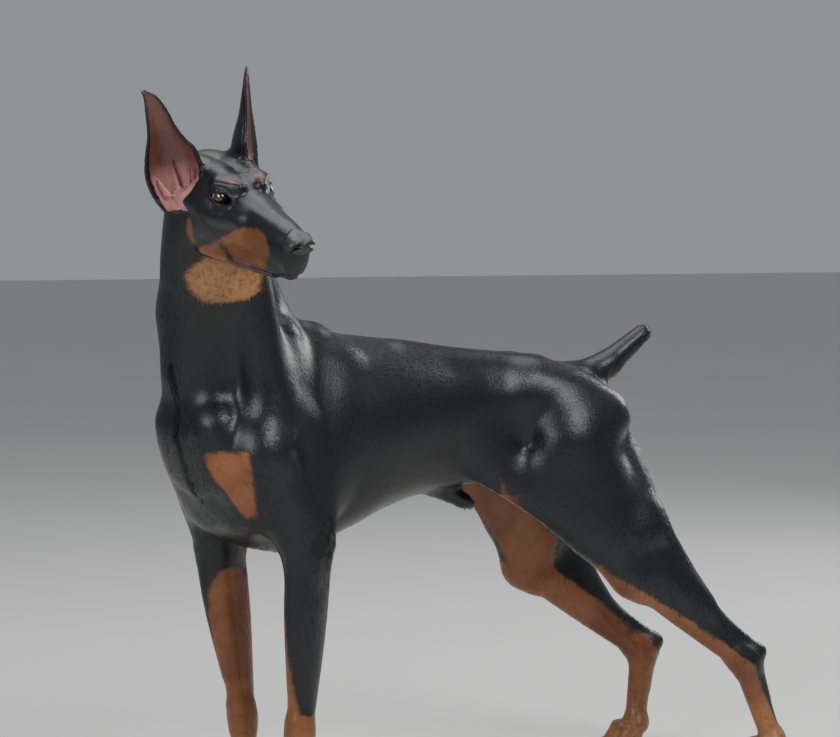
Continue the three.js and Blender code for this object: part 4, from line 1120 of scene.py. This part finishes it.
# Puts one small mesh at each point, turned by the point's own vectors.
def scatterGroup(name):
    group = bpy.data.node_groups.new(name, "GeometryNodeTree")
    face = group.interface
    face.new_socket("Points", in_out="INPUT", socket_type="NodeSocketGeometry")
    blade = face.new_socket("Blade", in_out="INPUT", socket_type="NodeSocketObject")
    look = face.new_socket("Material", in_out="INPUT", socket_type="NodeSocketMaterial")
    face.new_socket("Mesh", in_out="OUTPUT", socket_type="NodeSocketGeometry")
    nodes, links = group.nodes, group.links
    start, end = nodes.new("NodeGroupInput"), nodes.new("NodeGroupOutput")
    vectors = {}
    for attribute in ("along", "up", "size"):
        node = nodes.new("GeometryNodeInputNamedAttribute")
        node.data_type = "FLOAT_VECTOR"
        node.inputs["Name"].default_value = attribute
        vectors[attribute] = node.outputs["Attribute"]
    turn = nodes.new("FunctionNodeAxesToRotation")
    turn.primary_axis, turn.secondary_axis = "X", "Z"
    links.new(vectors["along"], turn.inputs[0])
    links.new(vectors["up"], turn.inputs[1])
    shape = nodes.new("GeometryNodeObjectInfo")
    links.new(start.outputs["Blade"], shape.inputs["Object"])
    place = nodes.new("GeometryNodeInstanceOnPoints")
    links.new(start.outputs["Points"], place.inputs["Points"])
    links.new(shape.outputs["Geometry"], place.inputs["Instance"])
    links.new(turn.outputs[0], place.inputs["Rotation"])
    links.new(vectors["size"], place.inputs["Scale"])
    real = nodes.new("GeometryNodeRealizeInstances")
    links.new(place.outputs[0], real.inputs[0])
    paint = nodes.new("GeometryNodeSetMaterial")
    links.new(real.outputs[0], paint.inputs["Geometry"])
    links.new(start.outputs["Material"], paint.inputs["Material"])
    links.new(paint.outputs[0], end.inputs[0])
    return group, blade.identifier, look.identifier


scatter, bladeSocket, materialSocket = scatterGroup("scatter")


# A plain mesh of blades; roots in metres, along and up in the frame's own directions.
def scattered(name, roots, along, up, size, blade, material):
    mesh = bpy.data.meshes.new(name)
    mesh.vertices.add(len(roots))
    mesh.vertices.foreach_set("co", np.asarray(roots, np.float32).ravel())
    for key, values in (("along", along), ("up", up), ("size", size)):
        mesh.attributes.new(key, "FLOAT_VECTOR", "POINT").data.foreach_set("vector", np.asarray(values, np.float32).ravel())
    made = bpy.data.objects.new(name, mesh)
    bpy.context.scene.collection.objects.link(made)
    modifier = made.modifiers.new("scatter", "NODES")
    modifier.node_group = scatter
    modifier[bladeSocket] = blade
    modifier[materialSocket] = material
    result = bpy.data.meshes.new_from_object(made.evaluated_get(bpy.context.evaluated_depsgraph_get()))
    made.modifiers.clear()
    made.data = result
    return made


# A tapering blade or claw from 0 to 1 along x: rows of place and half width.
def strandMesh(name, rows, around, arch):
    points, faces = [], []
    for x, half in rows:
        for k in range(around):
            angle = 2 * math.pi * k / around
            points.append((x, math.cos(angle) * half, math.sin(angle) * half + arch * x * x))
    for i in range(len(rows) - 1):
        for k in range(around):
            a, b = i * around + k, i * around + (k + 1) % around
            faces.append((a, b, b + around, a + around))
    points.append((rows[-1][0] + 0.04, 0, arch * (rows[-1][0] + 0.04) ** 2))
    tip = len(points) - 1
    faces += [(tip - around + k, tip - around + (k + 1) % around, tip) for k in range(around)]
    mesh = bpy.data.meshes.new(name)
    mesh.from_pydata(points, [], faces)
    mesh.polygons.foreach_set("use_smooth", np.ones(len(faces), dtype=bool))
    return bpy.data.objects.new(name, mesh)


# A straight dog's directions turned with the bend, in the frame.
def frameDirection(p, way):
    step = 0.5
    moved = bend(p + way * step) - bend(p - way * step)
    return moved / np.maximum(np.linalg.norm(moved, axis=1), 1e-9)[:, None]


# Claws: short and dark, one on each toe.
claw = {"length": 17, "thick": 4.3}
clawMesh = strandMesh("clawShape", [(0, 0.9), (0.3, 1.0), (0.6, 0.78), (0.85, 0.4)], 10, -0.18)
clawRoots, clawWays = [], []
for knuckle in knuckles:
    for root, arch, tip in toes(knuckle):
        clawRoots.append(tip + vec(2, 0, 4.5))
        clawWays.append(unit(vec(17, 0, -3)))
clawRoots, clawWays = np.array(clawRoots), np.array(clawWays)
clawLook = Look("clawHorn", roughness=0.36)
clawLook.out("Base Color", clawLook.mix(clawLook.ramp(clawLook.noise(300.0, 3.0, (0.2, 1, 1)), 0.3, 0.7), (0.008, 0.007, 0.0065), (0.03, 0.024, 0.02)))
clawLook.out("Normal", clawLook.bump(clawLook.noise(700.0, 2.0, (0.1, 1, 1)), 0.25, 0.0004))
sizes = np.tile(np.array([claw["length"], claw["thick"], claw["thick"]]) / 1000, (len(clawRoots), 1))
claws = scattered(
    "claws", placed(clawRoots), frameDirection(clawRoots, clawWays), np.tile(vec(0, 0, 1), (len(clawRoots), 1)), sizes, clawMesh, clawLook.material
)
finishPiece(claws, "claw")

# Hair: short blades that lie along the body, drawn from the skin's own faces.
hair = {"seed": 7, "count": 46000, "length": 9.0, "width": 1.0, "lift": 0.01, "fringe": 3600, "patch": 0.003}
rng = np.random.default_rng(hair["seed"])


def smooth(x, a, b):
    t = np.clip((x - a) / (b - a), 0, 1)
    return t * t * (3 - 2 * t)


# The way the hair lies on the straight dog.
def flow(p):
    h = (p - vec(*head["at"])) @ headTurn
    u, v, w = p.T
    way = np.tile(vec(-1, 0, -0.35), (len(p), 1))
    down = vec(-0.12, 0, -1)
    legs = np.maximum(smooth(-w, -470, -390), smooth(w, 640, 720) * (u > 320) * 1.0)
    way = way + (down - way) * legs[:, None]
    neck = smooth(w, 610, 700) * (u > 270)
    way = way + (vec(-0.45, -0.12, -1) - way) * neck[:, None]
    onSkull = smooth(-np.linalg.norm(h * vec(0.8, 1, 1) + vec(10, 0, 30), axis=1), -150, -110)
    back = headTurn @ vec(-1, 0, -0.12)
    way = way + (back - way) * onSkull[:, None]
    for side in (1, -1):
        base, axes = earFrame(side)
        along = (p - base) @ axes[:, 0]
        near = (np.linalg.norm(p - base - np.clip(along, 0, 160)[:, None] * axes[:, 0], axis=1) < 46) & (along > 22)
        way = np.where(near[:, None], axes[:, 0], way)
    tail = (u < -290) & (w > 600)
    return np.where(tail[:, None], unit(vec(-0.85, 0, 0.53)), way)


# Share of the full length: shortest on face, ears and feet.
def hairSize(p):
    h = (p - vec(*head["at"])) @ headTurn
    face = smooth(-np.linalg.norm(h * vec(0.75, 1, 1), axis=1), -150, -90)
    size = 1 - 0.55 * face
    size = np.where(h[:, 2] > 44, 0.45, size)
    size = np.where(p[:, 2] < 130, 0.4 + 0.4 * np.clip(p[:, 2] / 130, 0, 1), size)
    return size


def barePlaces(p):
    h = (p - vec(*head["at"])) @ headTurn
    bare = (lipShare(p) > 0.45) | (p[:, 2] < 10) | (h[:, 0] > 134)
    deep, base = earInside(p)
    bare |= deep > -0.5
    for side in (1, -1):
        centre, axes = eyeFrame(side)
        bare |= np.linalg.norm(p - centre - axes[:, 0] * 8, axis=1) < 18
    return bare


corners = points[quads]
middles = corners.mean(axis=1)
normals = np.cross(corners[:, 2] - corners[:, 0], corners[:, 3] - corners[:, 1])
areas = np.linalg.norm(normals, axis=1)
normals /= np.maximum(areas, 1e-9)[:, None]


def rootsOn(weights, count):
    chosen = rng.choice(len(quads), size=count, p=weights / weights.sum())
    a, b = rng.random(count)[:, None], rng.random(count)[:, None]
    c = corners[chosen]
    p = (c[:, 0] * (1 - a) + c[:, 1] * a) * (1 - b) + (c[:, 3] * (1 - a) + c[:, 2] * a) * b
    return p, normals[chosen]


# Each part's own turn and length, laid side by side: the skin unrolled.
def unwrap(p):
    h = (p - vec(*head["at"])) @ headTurn
    u, v, w = p.T
    leg = w < 400
    onHeadNow = (np.linalg.norm(h + vec(0, 0, 30), axis=1) < 150) | (h[:, 2] > 40)
    neck = ~onHeadNow & (w > 640) & (u > 250)
    turn = np.arctan2(v, w - 560) / (2 * math.pi) + 0.5
    across, length = turn * 0.4, np.clip((u + 400) / 860, 0, 1)
    across = np.where(neck, 0.42 + 0.1 * (np.arctan2(v, u - 370) / (2 * math.pi) + 0.5), across)
    length = np.where(neck, np.clip((w - 600) / 330, 0, 1), length)
    tile = np.where(u > 0, 0, 2) + (v > 0)
    spin = np.where(u > 0, np.arctan2(np.abs(v) - 92, u - 280), np.arctan2(np.abs(v) - 104, u + 380))
    across = np.where(leg, 0.54 + 0.06 * tile + 0.05 * (spin / (2 * math.pi) + 0.5), across)
    length = np.where(leg, np.clip(w / 400, 0, 1), length)
    face = np.arctan2(h[:, 1], h[:, 2] + 30) / (2 * math.pi) + 0.5
    across = np.where(onHeadNow, 0.8 + 0.19 * face, across)
    length = np.where(onHeadNow, np.clip((h[:, 0] + 130) / 300, 0, 1), length)
    return np.stack([across, length], axis=1) * 0.99


def addBakeMap(thing, p, blade):
    each = len(blade.data.vertices)
    start = unwrap(p)
    shape = np.array([v.co[:2] for v in blade.data.vertices])
    shape = (shape - shape.min(axis=0)) / np.ptp(shape, axis=0)
    spot = np.repeat(start, each, axis=0) + np.tile(shape, (len(p), 1)) * hair["patch"]
    layer = thing.data.uv_layers.new(name="OFBake")
    index = np.empty(len(thing.data.loops), dtype=np.int32)
    thing.data.loops.foreach_get("vertex_index", index)
    layer.data.foreach_set("uv", spot[index].astype(np.float32).ravel())


def lieAlong(p, normal, way, lift, spread):
    way = way + rng.normal(0, spread, way.shape)
    way = way - normal * (way * normal).sum(axis=1)[:, None]
    way /= np.maximum(np.linalg.norm(way, axis=1), 1e-9)[:, None]
    way = way + normal * lift
    return way / np.linalg.norm(way, axis=1)[:, None]


def bladeMesh(name):
    points = [(0, -0.5, 0), (0, 0.5, 0), (0.45, -0.42, 0.035), (0.45, 0.42, 0.035), (1, 0, 0.02)]
    mesh = bpy.data.meshes.new(name)
    mesh.from_pydata(points, [], [(0, 2, 3, 1), (2, 4, 3)])
    mesh.polygons.foreach_set("use_smooth", np.ones(2, dtype=bool))
    return bpy.data.objects.new(name, mesh)


blade = bladeMesh("bladeShape")
hairMaterial = coatLook("hairCoat", 0.34, 620.0)


def makeHair(name, roots, normal, length, width, lift, spread):
    keep = ~barePlaces(roots)
    roots, normal, length, width = roots[keep], normal[keep], length[keep], width[keep]
    way = lieAlong(roots, normal, flow(roots), lift, spread)
    sizes = np.stack([length, width, length], axis=1) / 1000
    made = scattered(
        name, placed(roots - normal * 0.15), frameDirection(roots, way), frameDirection(roots, normal), sizes, blade, hairMaterial
    )
    each = len(blade.data.vertices)
    addMarks(made, np.repeat(roots, each, axis=0))
    addBakeMap(made, roots, blade)
    finishPiece(made, "coat")
    print(name, len(roots), "tufts")


roots, normal = rootsOn(areas, hair["count"])
size = hairSize(roots) * rng.uniform(0.7, 1.2, len(roots))
makeHair("coatHair", roots, normal, hair["length"] * size, hair["width"] * np.sqrt(size), hair["lift"], 0.05)

u, v, w = middles.T
ridge = (np.abs(v) < 5) & (u > 400) & (w > 430) & (w < 660)
haunch = (u < -300) & (w > 330) & (w < 560) & (normals[:, 0] < -0.4)
under = (u < -300) & (w > 590) & (normals[:, 2] < -0.2)
belly = (np.abs(v) < 40) & (w < 470) & (u > -160) & (u < 330) & (normals[:, 2] < -0.5)
elbows = (u < 270) & (u > 225) & (w > 330) & (w < 440) & (normals[:, 0] < -0.3)
weights = areas * (ridge * 9.0 + haunch * 1.2 + under * 4.0 + belly * 0.8 + elbows * 1.5)
roots, normal = rootsOn(weights, hair["fringe"])
size = rng.uniform(0.75, 1.3, len(roots))
makeHair("fringeHair", roots, normal, 11.0 * size, 1.2 * size, 0.1, 0.12)

# Whiskers: a few stiff dark hairs on the muzzle.
whisker = {"rows": 4, "each": 6, "length": 26.0, "thick": 0.22}
whiskerMesh = strandMesh("whiskerShape", [(0, 1.0), (0.25, 0.85), (0.5, 0.6), (0.75, 0.38), (0.93, 0.18)], 4, -0.12)
whiskerRoots, whiskerWays, whiskerSizes = [], [], []
for side in (1, -1):
    for row in range(whisker["rows"]):
        for k in range(whisker["each"]):
            x = 118 - 9 * k - 3 * (row % 2)
            z = -44 - 8 * row
            start = onHead(x, 0, z)
            root = onSurface(start, unit(onHead(x, side * 30, z) - start))
            whiskerRoots.append(root)
            whiskerWays.append(headTurn @ unit(vec(-0.35 + rng.uniform(-0.15, 0.15), side, -0.35 + rng.uniform(-0.15, 0.1))))
            grow = rng.uniform(0.5, 1.0) * whisker["length"]
            whiskerSizes.append((grow, whisker["thick"], whisker["thick"]))
whiskerRoots, whiskerWays = np.array(whiskerRoots), np.array(whiskerWays)
whiskerLook = Look("whiskerHair", roughness=0.4)
whiskerLook.out("Base Color", whiskerLook.mix(whiskerLook.noise(200.0), (0.004, 0.004, 0.005), (0.03, 0.022, 0.018)))
whiskers = scattered(
    "whiskers",
    placed(whiskerRoots),
    frameDirection(whiskerRoots, whiskerWays),
    np.tile(vec(0, 0, 1), (len(whiskerRoots), 1)),
    np.array(whiskerSizes) / 1000,
    whiskerMesh,
    whiskerLook.material,
)
finishPiece(whiskers, "coat")
print("hair made")

# A plain pale floor, soft lights and the photograph's camera.
studio = {"floor": (0.62, 0.62, 0.6), "world": (0.82, 0.86, 0.9), "worldPower": 0.36}
bpy.ops.mesh.primitive_plane_add(size=60, location=(0, 0, 0))
floor = bpy.context.object
floor.name = "floor"
floorLook = Look("floorPaint", roughness=0.7)
floorLook.out("Base Color", floorLook.mix(floorLook.noise(3.0), studio["floor"], tuple(0.96 * c for c in studio["floor"])))
floor.data.materials.append(floorLook.material)

world = bpy.data.worlds.new("studio")
bpy.context.scene.world = world
world.use_nodes = True
world.node_tree.nodes["Background"].inputs["Color"].default_value = (*studio["world"], 1)
world.node_tree.nodes["Background"].inputs["Strength"].default_value = studio["worldPower"]


def aimed(thing, place, towards):
    away = Vector(towards) - Vector(place)
    thing.location = place
    thing.rotation_euler = away.to_track_quat("-Z", "Y").to_euler()


def addLight(name, size, power, place, towards=(0, 0, 0.5)):
    data = bpy.data.lights.new(name, "AREA")
    data.shape = "DISK"
    data.size = size
    data.energy = power
    lamp = bpy.data.objects.new(name, data)
    bpy.context.scene.collection.objects.link(lamp)
    aimed(lamp, place, towards)


addLight("key", 1.8, 95, (-0.6, 3.0, 2.9))
addLight("front", 1.6, 55, (3.0, 1.6, 1.8))
addLight("top", 3.0, 80, (0, -0.4, 3.4), (0, 0, 0))
addLight("rear", 1.6, 60, (-3.0, -1.2, 2.0))

shift = body["originShift"]
camera = {"lens": 115.71, "away": 4.10, "height": 0.87, "angle": 23.0, "down": 3.317}
data = bpy.data.cameras.new("camera")
data.lens = camera["lens"]
data.sensor_width = 36
viewer = bpy.data.objects.new("camera", data)
bpy.context.scene.collection.objects.link(viewer)
angle = math.radians(camera["angle"])
viewer.location = (
    math.sin(angle) * camera["away"] - shift[0] / 1000,
    math.cos(angle) * camera["away"] - shift[1] / 1000,
    camera["height"],
)
viewer.rotation_euler = (math.radians(90 - camera["down"]), 0, math.radians(180 - camera["angle"]))
bpy.context.scene.camera = viewer
